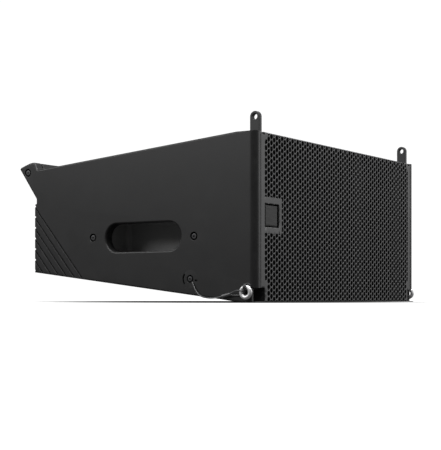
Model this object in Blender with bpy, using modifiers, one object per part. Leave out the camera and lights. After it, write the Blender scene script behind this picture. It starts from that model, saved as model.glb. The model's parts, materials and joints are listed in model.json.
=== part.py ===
"""Compact passive line array loudspeaker with its rigging, in separate pieces.

The model stands on its bottom edge with the grille towards -Y and +Z up. The origin is
the middle of the footprint, at floor level. Sizes below are in millimetres, and each
mesh is scaled to metres when its object is made.

Points are given as (x, d, z): x from the middle of the box, d behind the front plane.
"""
import math

import bmesh
import bpy
from mathutils import Matrix, Vector

MM = 0.001

# Driving dimensions of the cabinet
WIDTH = 552.0
HEIGHT = 250.0
DEPTH = 456.0
SIDE_PLY = 18.0
PLY = 15.0
GAP = 0.3
FLAT_TOP = 34.0
FLAT_BOTTOM = 23.6
TOP_SLOPE = 0.0894
BOTTOM_SLOPE = 0.121
REAR_FACE = 420.3
RIB_CREST = 424.0
EDGE_RADIUS = 11.0

# Rib grooves on the rear of each side panel
GROOVE_COUNT = 6
GROOVE_TOP = 156.8
GROOVE_PITCH = 17.45
GROOVE_ANGLE = math.radians(49.6)
GROOVE_DEPTH = 1.6
GROOVE_HALF_WIDTH = 1.5

# Grille and what lies behind it
GRILLE_HALF_WIDTH = 262.0
GRILLE_SHEET = 1.5
GRILLE_RETURN = 12.3
FOAM_FRONT = 1.8
FOAM_REAR = 7.8
BADGE_INSET = 46.5
BADGE_Z = 128.0
BAFFLE_FRONT = 30.0
BAFFLE_REAR = 48.0

# Drivers
WOOFER_X = 138.0
DRIVER_Z = 126.0
BASKET_RADIUS = 104.0
CUTOUT_RADIUS = 93.0

# Handles
HANDLE_DEPTH_AT = 204.0
HANDLE_Z = 100.4
HANDLE_LENGTH = 144.0
HANDLE_HEIGHT = 44.0
CUP = dict(d0=130.0, d1=278.0, z0=70.0, z1=130.0, inset=62.0, wall=2.5)
HANDLE_SCREWS = {"front": (108.2, 99.1), "rear": (301.2, 101.8)}
BEAM_SCREW = (438.1, 212.0)
RECESS_RADIUS = 6.2
RECESS_DEPTH = 3.0

# Front rigging: one steel channel a side, a sliding link in it and a pin through it
CHANNEL = dict(w0=18.3, w1=29.9, d0=1.8, d1=24.9, sheet=2.7)
LINK_INNER = 18.6
LINK_THICKNESS = 7.6
LINK_DEPTH_AT = 13.05
LINK_WIDTH = 16.5
LINK_FOOT = 64.0
TAB_HOLE_Z = HEIGHT + 22.5
TAB_HOLE_RADIUS = 4.8
PIN_Z = 22.5
PIN_RADIUS = 4.0
RECEIVER_TOP = 21.5
FOOT_PLATE = 1.5
FOOT_SKIN = 5.5
FOOT_DEPTH = 24.0
RING_RADIUS = 7.5
RING_WIRE = 3.1
RING_OUT = 6.0
RING_EYE = 3.7

# Lanyard: a coated wire rope from the anchor to an eye round the pin's ring
ANCHOR = (115.0, 35.2)
ANCHOR_RADIUS = 14.0
WIRE_RADIUS = 1.0
LANYARD_ROUTE = [
    (110.2, 30.4, -0.9), (108.5, 27.4, -1.3), (106.2, 23.2, -1.9), (102.2, 17.0, -2.6), (96.4, 11.4, -3.1),
    (88.8, 8.1, -3.4), (80.6, 6.7, -3.6), (72.6, 6.4, -3.7), (65.6, 7.1, -3.7), (60.8, 7.9, -3.7),
    (56.4, 8.8, -3.7),
]
FERRULE = [(55.8, 8.9, -3.7), (41.0, 12.5, -3.7)]
FERRULE_RADIUS = 2.3
EYE_ROUTE = [
    (43.0, 12.9, -3.8), (39.4, 14.2, -4.2), (35.0, 15.4, -5.2), (30.4, 16.7, -7.6), (25.2, 17.5, -9.8),
    (20.6, 17.6, -10.5), (17.3, 16.6, -9.1), (16.0, 15.0, -6.0), (17.2, 13.2, -2.8), (20.6, 11.8, -1.5),
    (25.4, 10.9, -1.6), (31.0, 10.6, -2.4), (36.0, 10.7, -3.1), (39.4, 11.0, -3.5), (43.0, 11.3, -3.7),
]

# Rear beam and rear rigging arm
BEAM_OUTLINE = [
    (420.6, 169.2), (420.6, 216.4), (416.2, 216.8), (419.6, 219.2), (421.4, 222.4), (423.5, 226.1),
    (425.3, 228.0), (429.0, 228.1), (435.0, 227.3), (444.6, 224.4), (453.4, 221.2), (455.6, 219.4),
    (455.6, 217.6),
]
SLOT_HALF_WIDTH = 26.0
SLOT_FRONT = 428.0
ARM_PIVOT = (441.5, 206.0)
ARM_HALF_THICKNESS = 4.0
ARM_LENGTH = 92.0
ARM_WIDTH = 19.0
CHEEK_INNER = 4.6
CHEEK_OUTER = 7.6

# Connector plate on the rear panel
PLATE_X = -118.0
PLATE_Z = 108.0
PLATE_HALF = (33.0, 56.0)
SOCKET_RADIUS = 13.0
SOCKET_SPACING = 44.0


def top_line(depth):
    """Height of the cabinet's top surface at a depth."""
    return HEIGHT if depth <= FLAT_TOP else HEIGHT - TOP_SLOPE * (depth - FLAT_TOP)


def bottom_line(depth):
    """Height of the cabinet's bottom surface at a depth."""
    return 0.0 if depth <= FLAT_BOTTOM else BOTTOM_SLOPE * (depth - FLAT_BOTTOM)


def world(x, depth, z):
    """A point of the box in millimetres, with the front plane moved to y = -DEPTH / 2."""
    return Vector((x, depth - DEPTH / 2, z))


def outside(side, inset, depth, z):
    """A point measured inwards from the outer face of the left (-1) or right (1) side."""
    return world(side * (WIDTH / 2 - inset), depth, z)


# ---------------------------------------------------------------- scene and materials

def clear_scene():
    for item in list(bpy.data.objects):
        bpy.data.objects.remove(item)


def new_collection(name):
    collection = bpy.data.collections.new(name)
    bpy.context.scene.collection.children.link(collection)
    return collection


clear_scene()
PARTS = new_collection("line_array_speaker")
CUTTERS = new_collection("cutters")

FINISHES = {
    "painted_ply": ((0.030, 0.030, 0.031), 0.62, 0.0),
    "black_steel": ((0.045, 0.045, 0.047), 0.42, 0.6),
    "grille_paint": ((0.090, 0.090, 0.092), 0.50, 0.3),
    "cup_plastic": ((0.022, 0.022, 0.022), 0.55, 0.0),
    "foam": ((0.010, 0.010, 0.010), 0.95, 0.0),
    "badge": ((0.050, 0.050, 0.052), 0.40, 0.2),
    "cast_basket": ((0.120, 0.120, 0.125), 0.45, 0.8),
    "paper_cone": ((0.028, 0.028, 0.030), 0.85, 0.0),
    "rubber": ((0.015, 0.015, 0.015), 0.70, 0.0),
    "ferrite": ((0.055, 0.055, 0.060), 0.60, 0.2),
    "circuit_board": ((0.020, 0.110, 0.050), 0.50, 0.0),
    "copper": ((0.640, 0.260, 0.120), 0.35, 0.9),
    "film_plastic": ((0.420, 0.360, 0.080), 0.45, 0.0),
    "chrome": ((0.780, 0.780, 0.790), 0.12, 1.0),
    "coated_wire": ((0.035, 0.035, 0.036), 0.38, 0.1),
    "socket_plastic": ((0.030, 0.040, 0.075), 0.40, 0.0),
}


def give_material(item, finish):
    """One material for each object, with the finish's colour, roughness and metallic value."""
    colour, roughness, metallic = FINISHES[finish]
    material = bpy.data.materials.new(item.name)
    material.use_nodes = True
    shader = material.node_tree.nodes["Principled BSDF"]
    shader.inputs["Base Color"].default_value = (*colour, 1.0)
    shader.inputs["Roughness"].default_value = roughness
    shader.inputs["Metallic"].default_value = metallic
    item.data.materials.append(material)


# ---------------------------------------------------------------- building tools

def add_box(bm, low, high):
    """A box between two opposite corners."""
    low = Vector(low)
    high = Vector(high)
    size = Matrix.Diagonal([abs(length) for length in high - low] + [1.0])
    bmesh.ops.create_cube(bm, size=1.0, matrix=Matrix.Translation((low + high) / 2) @ size)


def add_rod(bm, start, end, radius, sides):
    """A closed cylinder between two points."""
    start = Vector(start)
    end = Vector(end)
    turn = Vector((0, 0, 1)).rotation_difference(end - start).to_matrix().to_4x4()
    bmesh.ops.create_cone(
        bm, cap_ends=True, segments=sides, radius1=radius, radius2=radius,
        depth=(end - start).length, matrix=Matrix.Translation((start + end) / 2) @ turn)


def add_frustum(bm, front, rear):
    """A block with a rectangle (half width, half height, depth) at each end, centred on x = 0."""
    made = bmesh.ops.create_cube(bm, size=2.0)["verts"]
    for vert in made:
        half_x, half_z, depth = front if vert.co.y < 0 else rear
        vert.co = world(vert.co.x * half_x, depth, DRIVER_Z + vert.co.z * half_z)


def mesh_object(name, bm, collection=PARTS):
    """An object from a mesh in millimetres."""
    bmesh.ops.scale(bm, verts=bm.verts, vec=(MM, MM, MM))
    mesh = bpy.data.meshes.new(name)
    bm.to_mesh(mesh)
    bm.free()
    item = bpy.data.objects.new(name, mesh)
    collection.objects.link(item)
    return item


def boxes(name, corners, collection=PARTS):
    """One object from boxes that don't touch, each between two opposite corners."""
    bm = bmesh.new()
    for low, high in corners:
        add_box(bm, low, high)
    return mesh_object(name, bm, collection)


def rods(name, ends, collection=PARTS, sides=24):
    """One object from cylinders that don't touch, each (start, end, radius)."""
    bm = bmesh.new()
    for start, end, radius in ends:
        add_rod(bm, start, end, radius, sides)
    return mesh_object(name, bm, collection)


def curve_to_mesh(name, curve_item, collection=PARTS):
    """The mesh of a curve object, with its caps welded, in the curve's place."""
    bpy.context.view_layer.update()
    graph = bpy.context.evaluated_depsgraph_get()
    mesh = bpy.data.meshes.new_from_object(curve_item.evaluated_get(graph))
    bm = bmesh.new()
    bm.from_mesh(mesh)
    bmesh.ops.remove_doubles(bm, verts=bm.verts, dist=1e-6)
    bm.to_mesh(mesh)
    bm.free()
    item = bpy.data.objects.new(name, mesh)
    item.matrix_world = curve_item.matrix_world.copy()
    collection.objects.link(item)
    bpy.data.objects.remove(curve_item)
    return item


ALONG_X = Matrix(((0, 0, 1, 0), (1, 0, 0, 0), (0, 1, 0, 0), (0, 0, 0, 1)))


def profile_plate(name, outline, x0, x1, collection=PARTS, origin=(0, 0, 0)):
    """A flat outline in (depth, z) with a thickness from x0 to x1."""
    origin = Vector(origin)
    curve = bpy.data.curves.new(name + "_outline", "CURVE")
    curve.dimensions = "2D"
    curve.fill_mode = "BOTH"
    curve.extrude = abs(x1 - x0) / 2 * MM
    spline = curve.splines.new("POLY")
    spline.points.add(len(outline) - 1)
    for point, (depth, z) in zip(spline.points, outline):
        flat = world(0, depth, z) - origin
        point.co = (flat.y * MM, flat.z * MM, 0, 1)
    spline.use_cyclic_u = True
    item = bpy.data.objects.new(name + "_outline", curve)
    item.matrix_world = Matrix.Translation((((x0 + x1) / 2) * MM, origin.y * MM, origin.z * MM)) @ ALONG_X
    collection.objects.link(item)
    return curve_to_mesh(name, item, collection)


def turned(name, outline, place, axis, closed=False, sides=32, collection=PARTS):
    """A turned solid: (radius, height) points down its outer side, heights along axis."""
    bm = bmesh.new()
    verts = [bm.verts.new((radius * MM, 0, height * MM)) for radius, height in outline]
    for first, second in zip(verts, verts[1:]):
        bm.edges.new((first, second))
    if closed:
        bm.edges.new((verts[-1], verts[0]))
    mesh = bpy.data.meshes.new(name)
    bm.to_mesh(mesh)
    bm.free()
    item = bpy.data.objects.new(name, mesh)
    item.matrix_world = Matrix.Translation(Vector(place) * MM) @ (
        Vector((0, 0, 1)).rotation_difference(Vector(axis)).to_matrix().to_4x4())
    collection.objects.link(item)
    screw = item.modifiers.new("turn", "SCREW")
    screw.steps = sides
    screw.render_steps = sides
    screw.use_merge_vertices = True
    screw.merge_threshold = 0.00001
    return item


def smooth_route(route, spacing):
    """Points about a spacing apart on a Catmull-Rom curve through a route."""
    points = [Vector(point) for point in route]
    padded = [2 * points[0] - points[1], *points, 2 * points[-1] - points[-2]]
    result = []
    for before, start, end, after in zip(padded, padded[1:], padded[2:], padded[3:]):
        count = max(1, round((end - start).length / spacing))
        for step in range(count):
            t = step / count
            result.append(0.5 * (
                2 * start + (end - before) * t
                + (2 * before - 5 * start + 4 * end - after) * t ** 2
                + (3 * start - before - 3 * end + after) * t ** 3))
    result.append(points[-1])
    return result


def tube(name, points, radius, collection=PARTS):
    """A round wire through points given in millimetres."""
    curve = bpy.data.curves.new(name, "CURVE")
    curve.dimensions = "3D"
    curve.bevel_depth = radius * MM
    curve.bevel_resolution = 2
    curve.use_fill_caps = True
    spline = curve.splines.new("POLY")
    spline.points.add(len(points) - 1)
    for point, place in zip(spline.points, points):
        point.co = (*(place * MM), 1)
    item = bpy.data.objects.new(name, curve)
    collection.objects.link(item)
    return item


def torus(name, place, axis, major, minor):
    """A ring about an axis through its middle, before its origin is set."""
    turn = Vector((0, 0, 1)).rotation_difference(Vector(axis))
    bpy.ops.mesh.primitive_torus_add(
        major_segments=24, minor_segments=8, major_radius=major * MM, minor_radius=minor * MM,
        location=Vector(place) * MM, rotation=turn.to_euler())
    item = bpy.context.active_object
    item.name = name
    for collection in list(item.users_collection):
        collection.objects.unlink(item)
    PARTS.objects.link(item)
    return item


def boolean(item, other, operation):
    """Cut or join a piece with a mesh that is kept among the cutters."""
    for collection in list(other.users_collection):
        collection.objects.unlink(other)
    CUTTERS.objects.link(other)
    other.hide_render = True
    other.display_type = "WIRE"
    modifier = item.modifiers.new(other.name, "BOOLEAN")
    modifier.operation = operation
    modifier.object = other
    modifier.solver = "EXACT"
    return item


def cut(item, other):
    return boolean(item, other, "DIFFERENCE")


def join(item, other):
    return boolean(item, other, "UNION")


def bevel(item, width, segments=2, angle=30.0):
    modifier = item.modifiers.new("rounded_edges", "BEVEL")
    modifier.width = width * MM
    modifier.segments = segments
    modifier.limit_method = "ANGLE"
    modifier.angle_limit = math.radians(angle)
    return item


def shade_round(item):
    if item.type == "MESH":
        item.data.shade_smooth()
        item.data.set_sharp_from_angle(angle=math.radians(35))


def finish(item, look):
    give_material(item, look)
    shade_round(item)
    return item


def side_name(side):
    return "left" if side < 0 else "right"


# ---------------------------------------------------------------- cabinet

def side_outline():
    """Outline of a side panel: notched foot, flat and sloping top, horn, ribbed rear."""
    outline = [(7.0, 0.0), (7.0, RECEIVER_TOP), (0.0, RECEIVER_TOP), (0.0, HEIGHT), (FLAT_TOP, HEIGHT)]
    outline.append((415.7, top_line(415.7)))
    outline += [
        (418.2, 217.2), (419.9, 219.3), (421.4, 222.4), (423.5, 226.3), (425.3, 228.3), (429.0, 228.4),
        (435.0, 227.5), (444.6, 224.6), (453.7, 221.3), (456.0, 219.4), (456.0, 217.4),
    ]
    outline += [(REAR_FACE, 168.4), (REAR_FACE, 161.0), (RIB_CREST, 159.2)]
    for index in range(GROOVE_COUNT):
        middle = GROOVE_TOP - index * GROOVE_PITCH
        outline += [(RIB_CREST, middle + 1.7), (RIB_CREST - 3.4, middle), (RIB_CREST, middle - 1.7)]
    outline += [(RIB_CREST, bottom_line(RIB_CREST)), (FLAT_BOTTOM, 0.0)]
    return outline


def front_edge_cutter(side):
    """What is taken off the outer front edge to leave a quarter round."""
    corners = (outside(side, -2.0, -2.0, -5.0), outside(side, EDGE_RADIUS, EDGE_RADIUS, HEIGHT + 5.0))
    block = boxes(f"edge_block_{side_name(side)}", [corners], CUTTERS)
    centre = outside(side, EDGE_RADIUS, EDGE_RADIUS, 0.0)
    ends = (centre - Vector((0, 0, 20)), centre + Vector((0, 0, HEIGHT + 20)), EDGE_RADIUS)
    return cut(block, rods(f"edge_round_{side_name(side)}", [ends], CUTTERS, sides=32))


def groove_cutter(side):
    """Triangular bars that cut the diagonal grooves into the outer face."""
    bm = bmesh.new()
    along = Vector((0, -math.cos(GROOVE_ANGLE), -math.sin(GROOVE_ANGLE)))
    across = Vector((0, -math.sin(GROOVE_ANGLE), math.cos(GROOVE_ANGLE)))
    outward = Vector((side, 0, 0))
    for index in range(GROOVE_COUNT + 1):
        start = outside(side, 0.0, RIB_CREST, GROOVE_TOP - index * GROOVE_PITCH) - along * 8
        reach = (GROOVE_TOP - index * GROOVE_PITCH - 25.0) / math.sin(GROOVE_ANGLE) * 1.08 + 16
        basis = Matrix((across, along, outward)).transposed().to_4x4()
        place = Matrix.Translation(start + along * reach / 2) @ basis
        made = bmesh.ops.create_cube(bm, size=1.0)["verts"]
        for vert in made:
            half = GROOVE_HALF_WIDTH * 1.6 if vert.co.z > 0 else 0.35
            height = GROOVE_DEPTH * 0.6 if vert.co.z > 0 else -GROOVE_DEPTH
            vert.co = place @ Vector((math.copysign(half, vert.co.x), vert.co.y * reach, height))
    bmesh.ops.recalc_face_normals(bm, faces=bm.faces)
    return mesh_object(f"grooves_{side_name(side)}", bm, CUTTERS)


def stadium_cutter(side):
    """The handle opening through the side panel."""
    half = HANDLE_HEIGHT / 2
    straight = HANDLE_LENGTH / 2 - half
    outline = []
    for centre, first in ((straight, -90), (-straight, 90)):
        for step in range(17):
            turn = math.radians(first + step * 180 / 16)
            depth = HANDLE_DEPTH_AT + centre + half * math.cos(turn)
            outline.append((depth, HANDLE_Z + half * math.sin(turn)))
    x0 = side * (WIDTH / 2 + 5.0)
    x1 = side * (WIDTH / 2 - SIDE_PLY - 5.0)
    return profile_plate(f"handle_opening_{side_name(side)}", outline, x0, x1, CUTTERS)


def fixing_cutter(side):
    """Recesses and holes for the screws, the anchor and the pin, apart from each other."""
    bores = []
    for depth, z in (*HANDLE_SCREWS.values(), BEAM_SCREW):
        bores.append((depth, z, RECESS_RADIUS, RECESS_DEPTH))
    bores.append((*ANCHOR, ANCHOR_RADIUS + 0.4, 2.6))
    ends = []
    for depth, z, radius, drop in bores:
        ends.append((outside(side, -3.0, depth, z), outside(side, drop, depth, z), radius))
    wide = rods(f"recesses_{side_name(side)}", ends, CUTTERS, sides=18)
    through = []
    for depth, z, radius, drop in bores:
        through.append((outside(side, drop - 1.0, depth, z), outside(side, SIDE_PLY + 3.0, depth, z), 2.5))
    ends = [outside(side, inset, LINK_DEPTH_AT, PIN_Z) for inset in (-3.0, 22.0)]
    through.append((*ends, PIN_RADIUS + 0.4))
    narrow = rods(f"holes_{side_name(side)}", through, CUTTERS, sides=12)
    return wide, narrow


def side_panel(side):
    name = f"side_panel_{side_name(side)}"
    panel = profile_plate(name, side_outline(), side * WIDTH / 2, side * (WIDTH / 2 - SIDE_PLY))
    corners = (outside(side, 13.5, -2.0, -3.0), outside(side, SIDE_PLY + 2.0, 8.6, HEIGHT + 3.0))
    cut(panel, boxes(f"grille_rebate_{side_name(side)}", [corners], CUTTERS))
    cut(panel, front_edge_cutter(side))
    corners = (outside(side, FOOT_SKIN, -5.0, -5.0), outside(side, SIDE_PLY + 5.0, FOOT_DEPTH, RECEIVER_TOP))
    cut(panel, boxes(f"foot_pocket_{side_name(side)}", [corners], CUTTERS))
    cut(panel, groove_cutter(side))
    cut(panel, stadium_cutter(side))
    wide, narrow = fixing_cutter(side)
    cut(panel, wide)
    cut(panel, narrow)
    return finish(panel, "painted_ply")


def cabinet_panels():
    half = WIDTH / 2 - SIDE_PLY - GAP
    channel_inset = WIDTH / 2 - CHANNEL["w1"] - GAP
    corner_depth = CHANNEL["d1"] + GAP
    start = GRILLE_RETURN + GAP
    end = 404.9
    top_outline = [(start, HEIGHT), (FLAT_TOP, HEIGHT), (end, top_line(end))]
    top_outline += [(end, top_line(end) - PLY), (FLAT_TOP, HEIGHT - PLY), (start, HEIGHT - PLY)]
    bottom_outline = [(start, 0.0), (start, PLY), (FLAT_BOTTOM, PLY)]
    bottom_outline += [(end, bottom_line(end) + PLY), (end, bottom_line(end)), (FLAT_BOTTOM, 0.0)]
    for name, outline in (("top_panel", top_outline), ("bottom_panel", bottom_outline)):
        panel = profile_plate(name, outline, -half, half)
        corners = []
        for side in (-1, 1):
            low = world(side * channel_inset, -5, -5)
            corners.append((low, world(side * (half + 5), corner_depth, HEIGHT + 5)))
        cut(panel, boxes(name + "_corners", corners, CUTTERS))
        finish(panel, "painted_ply")
    outline = [(405.2, bottom_line(405.2)), (405.2, top_line(405.2)), (REAR_FACE, top_line(REAR_FACE))]
    outline.append((REAR_FACE, bottom_line(REAR_FACE)))
    rear = profile_plate("rear_panel", outline, -half, half)
    window = boxes("plate_window", [(
        world(PLATE_X - PLATE_HALF[0] + 8, 400, PLATE_Z - PLATE_HALF[1] + 8),
        world(PLATE_X + PLATE_HALF[0] - 8, 425, PLATE_Z + PLATE_HALF[1] - 8))], CUTTERS)
    cut(rear, window)
    screw_holes = []
    for way in (-1, 1):
        z = PLATE_Z + way * (PLATE_HALF[1] - 4)
        screw_holes.append((world(PLATE_X, 400, z), world(PLATE_X, 425, z), 1.9))
    cut(rear, rods("rear_screw_holes", screw_holes, CUTTERS, sides=16))
    finish(rear, "painted_ply")


def front_baffle():
    half = WIDTH / 2 - SIDE_PLY - GAP
    low = bottom_line(BAFFLE_REAR) + PLY + GAP + 0.2
    high = top_line(BAFFLE_REAR) - PLY - GAP
    baffle = boxes("front_baffle", [(world(-half, BAFFLE_FRONT, low), world(half, BAFFLE_REAR, high))])
    rounds = []
    for side in (-1, 1):
        rounds.append((world(side * WOOFER_X, BAFFLE_FRONT - 5, DRIVER_Z),
                       world(side * WOOFER_X, BAFFLE_REAR + 5, DRIVER_Z), CUTOUT_RADIUS))
    cut(baffle, rods("driver_cutouts", rounds, CUTTERS, sides=40))
    corners = (world(-27, BAFFLE_FRONT - 5, 26), world(27, BAFFLE_REAR + 5, 226))
    cut(baffle, boxes("horn_cutout", [corners], CUTTERS))
    vents = []
    for side in (-1, 1):
        for z in (34.0, 218.0):
            ends = [world(side * 242, depth, z) for depth in (BAFFLE_FRONT - 5, BAFFLE_REAR + 5)]
            vents.append((*ends, 10.0))
    cut(baffle, rods("corner_vents", vents, CUTTERS, sides=16))
    finish(baffle, "painted_ply")


def rear_beam():
    half = WIDTH / 2 - SIDE_PLY - GAP
    beam = profile_plate("rear_beam", BEAM_OUTLINE, -half, half)
    corners = (world(-SLOT_HALF_WIDTH, SLOT_FRONT, 150), world(SLOT_HALF_WIDTH, 470, 240))
    cut(beam, boxes("arm_slot", [corners], CUTTERS))
    holes = []
    for side in (-1, 1):
        holes.append((world(side * (half + 5), *BEAM_SCREW), world(side * (half - 22), *BEAM_SCREW), 2.5))
    cut(beam, rods("beam_screw_holes", holes, CUTTERS, sides=20))
    finish(beam, "painted_ply")


# ---------------------------------------------------------------- grille

def grille():
    half = GRILLE_HALF_WIDTH
    shell = boxes("grille", [(world(-half, 0, 0), world(half, GRILLE_RETURN, HEIGHT))])
    inner = boxes("grille_hollow", [(
        world(-half + GRILLE_SHEET, GRILLE_SHEET, GRILLE_SHEET),
        world(half - GRILLE_SHEET, GRILLE_RETURN + 5, HEIGHT - GRILLE_SHEET))], CUTTERS)
    cut(shell, inner)
    returns = []
    corners = []
    tabs = []
    for side in (-1, 1):
        edge = side * (half + 6)
        flange = side * (half - 4.6)
        inset = side * (WIDTH / 2 - CHANNEL["w1"] - GAP)
        tab = side * (WIDTH / 2 - 17.6)
        tab_end = side * (WIDTH / 2 - 26.9)
        returns.append((world(edge, 8.2, RECEIVER_TOP - 2), world(flange, 20, HEIGHT + 5)))
        corners.append((world(edge, -5, -5), world(inset, 20, RECEIVER_TOP)))
        tabs.append((world(tab, -5, HEIGHT - 4.5), world(tab_end, 20, HEIGHT + 5)))
    cut(shell, boxes("grille_returns", returns, CUTTERS))
    cut(shell, boxes("grille_corners", corners, CUTTERS))
    cut(shell, boxes("grille_tabs", tabs, CUTTERS))
    badge = outside(-1, BADGE_INSET, 0, BADGE_Z)
    corners = (badge - Vector((20.5, 5, 17.5)), badge + Vector((20.5, 5, 17.5)))
    cut(shell, boxes("badge_window", [corners], CUTTERS))
    finish(shell, "grille_paint")
    plate = boxes("badge_plate", [(badge + Vector((-20.0, 2.2, -17.0)), badge + Vector((20.0, 3.6, 17.0)))])
    bevel(plate, 0.5, 1)
    finish(plate, "badge")


def grille_foam():
    half = WIDTH / 2 - CHANNEL["w1"] - GAP
    low = world(-half, FOAM_FRONT, 2.2)
    high = world(half, FOAM_REAR, HEIGHT - 2.2)
    foam = boxes("grille_foam", [(low, high)])
    badge = outside(-1, BADGE_INSET, 0, BADGE_Z)
    corners = (badge + Vector((-20.4, -5, -17.4)), badge + Vector((20.4, 4.0, 17.4)))
    cut(foam, boxes("badge_pocket", [corners], CUTTERS))
    finish(foam, "foam")


# ---------------------------------------------------------------- drivers

def woofer(side):
    tag = side_name(side)
    centre = world(side * WOOFER_X, 0, DRIVER_Z)
    forward = (0, -1, 0)
    basket_outline = [
        (88.2, -24.0), (BASKET_RADIUS, -24.0), (BASKET_RADIUS, -29.7), (92.0, -29.7), (54.0, -104.0),
        (54.0, -108.6), (22.5, -108.6), (22.5, -105.6), (51.0, -105.6), (51.0, -103.0), (88.2, -32.0),
    ]
    basket = turned(f"woofer_basket_{tag}", basket_outline, centre, forward, closed=True, sides=32)
    windows = bmesh.new()
    for index in range(6):
        turn = Matrix.Translation(centre) @ Matrix.Rotation(math.radians(30 + index * 60), 4, "Y")
        made = bmesh.ops.create_cube(windows, size=1.0)["verts"]
        for vert in made:
            near_axis = vert.co.x < 0
            reach, half = (40.0, 12.0) if near_axis else (110.0, 24.0)
            behind = 76.0 + math.copysign(20.0, vert.co.y)
            vert.co = turn @ Vector((reach, behind, math.copysign(half, vert.co.z)))
    bmesh.ops.recalc_face_normals(windows, faces=windows.faces)
    cut(basket, mesh_object(f"basket_windows_{tag}", windows, CUTTERS))
    finish(basket, "cast_basket")
    surround = [
        (75.8, -27.0), (79.4, -23.8), (83.0, -27.2), (87.8, -27.2), (87.8, -28.4), (82.4, -28.4),
        (79.4, -25.2), (76.6, -28.2), (75.8, -28.2),
    ]
    finish(turned(f"woofer_surround_{tag}", surround, centre, forward, closed=True), "rubber")
    cone = [(0.0, -49.0)]
    for step in range(1, 4):
        turn = math.radians(step * 25)
        cone.append((22.0 * math.sin(turn), -49.0 - 8.0 * (1 - math.cos(turn))))
    cone += [(27.0, -57.0), (75.4, -27.2), (75.4, -28.8), (28.0, -58.6), (19.9, -58.6), (19.9, -117.0)]
    cone += [(18.7, -117.0), (18.7, -58.4), (0.0, -52.0)]
    finish(turned(f"woofer_cone_{tag}", cone, centre, forward), "paper_cone")
    magnet = [
        (0.0, -109.0), (17.4, -109.0), (17.4, -129.0), (21.4, -129.0), (21.4, -109.0), (57.0, -109.0),
        (57.0, -138.0), (40.0, -142.0), (0.0, -142.0),
    ]
    finish(turned(f"woofer_magnet_{tag}", magnet, centre, forward), "ferrite")


def high_frequency():
    bm = bmesh.new()
    add_frustum(bm, (26.6, 99.0, 26.0), (19.0, 19.0, 110.0))
    guide = mesh_object("waveguide", bm)
    flange = boxes("waveguide_flange", [(world(-33.4, 24.0, 20.0), world(33.4, 29.7, 232.0))], CUTTERS)
    join(guide, flange)
    bore = bmesh.new()
    add_frustum(bore, (24.8, 97.4, 20.0), (12.5, 12.5, 114.0))
    cut(guide, mesh_object("waveguide_bore", bore, CUTTERS))
    finish(guide, "cup_plastic")
    driver = [
        (0.0, -120.0), (12.6, -116.0), (12.6, -110.4), (30.0, -110.4), (30.0, -116.0), (50.0, -116.0),
        (50.0, -156.0), (38.0, -162.0), (38.0, -168.0), (0.0, -168.0),
    ]
    finish(turned("compression_driver", driver, world(0, 0, DRIVER_Z), (0, -1, 0)), "ferrite")


def crossover():
    board = boxes("crossover_board", [(world(10, 402.9, 90), world(150, 404.6, 190))])
    finish(board, "circuit_board")
    coil = [(10.0, 0.0), (24.0, 0.0), (24.0, -22.0), (10.0, -22.0)]
    winding = turned("crossover_coil", coil, world(48, 380.0, 140), (0, -1, 0), closed=True, sides=32)
    finish(winding, "copper")
    capacitor = rods("crossover_capacitor", [(world(88, 391.0, 120), world(138, 391.0, 120), 11.0)])
    finish(capacitor, "film_plastic")


# ---------------------------------------------------------------- handles

def handle_cup(side):
    tag = side_name(side)
    wall = CUP["wall"]
    near = outside(side, SIDE_PLY + GAP, CUP["d0"] - wall, CUP["z0"] - wall)
    far = outside(side, CUP["inset"] + wall, CUP["d1"] + wall, CUP["z1"] + wall)
    cup = boxes(f"handle_cup_{tag}", [(near, far)])
    near = outside(side, SIDE_PLY - 10, CUP["d0"], CUP["z0"])
    far = outside(side, CUP["inset"], CUP["d1"], CUP["z1"])
    cut(cup, boxes(f"handle_hollow_{tag}", [(near, far)], CUTTERS))
    finish(cup, "cup_plastic")


def screw(name, side, depth, z, sunk, head, length, thread=2.1):
    """A cap screw with a round socket, its head's face sunk below the side's outer face."""
    outline = [(0.0, -1.6), (head * 0.45, -1.6), (head * 0.45, 0.0), (head, 0.0), (head, -2.4)]
    outline += [(thread, -2.4), (thread, -length), (0.0, -length)]
    item = turned(name, outline, outside(side, sunk, depth, z), (side, 0, 0), sides=12)
    return finish(item, "black_steel")


def side_fixings(side):
    tag = side_name(side)
    for place, (depth, z) in HANDLE_SCREWS.items():
        screw(f"handle_screw_{tag}_{place}", side, depth, z, 0.3, 4.1, 13.0)
    screw(f"beam_screw_{tag}", side, *BEAM_SCREW, 0.3, 4.1, 34.0)


# ---------------------------------------------------------------- front rigging

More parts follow.
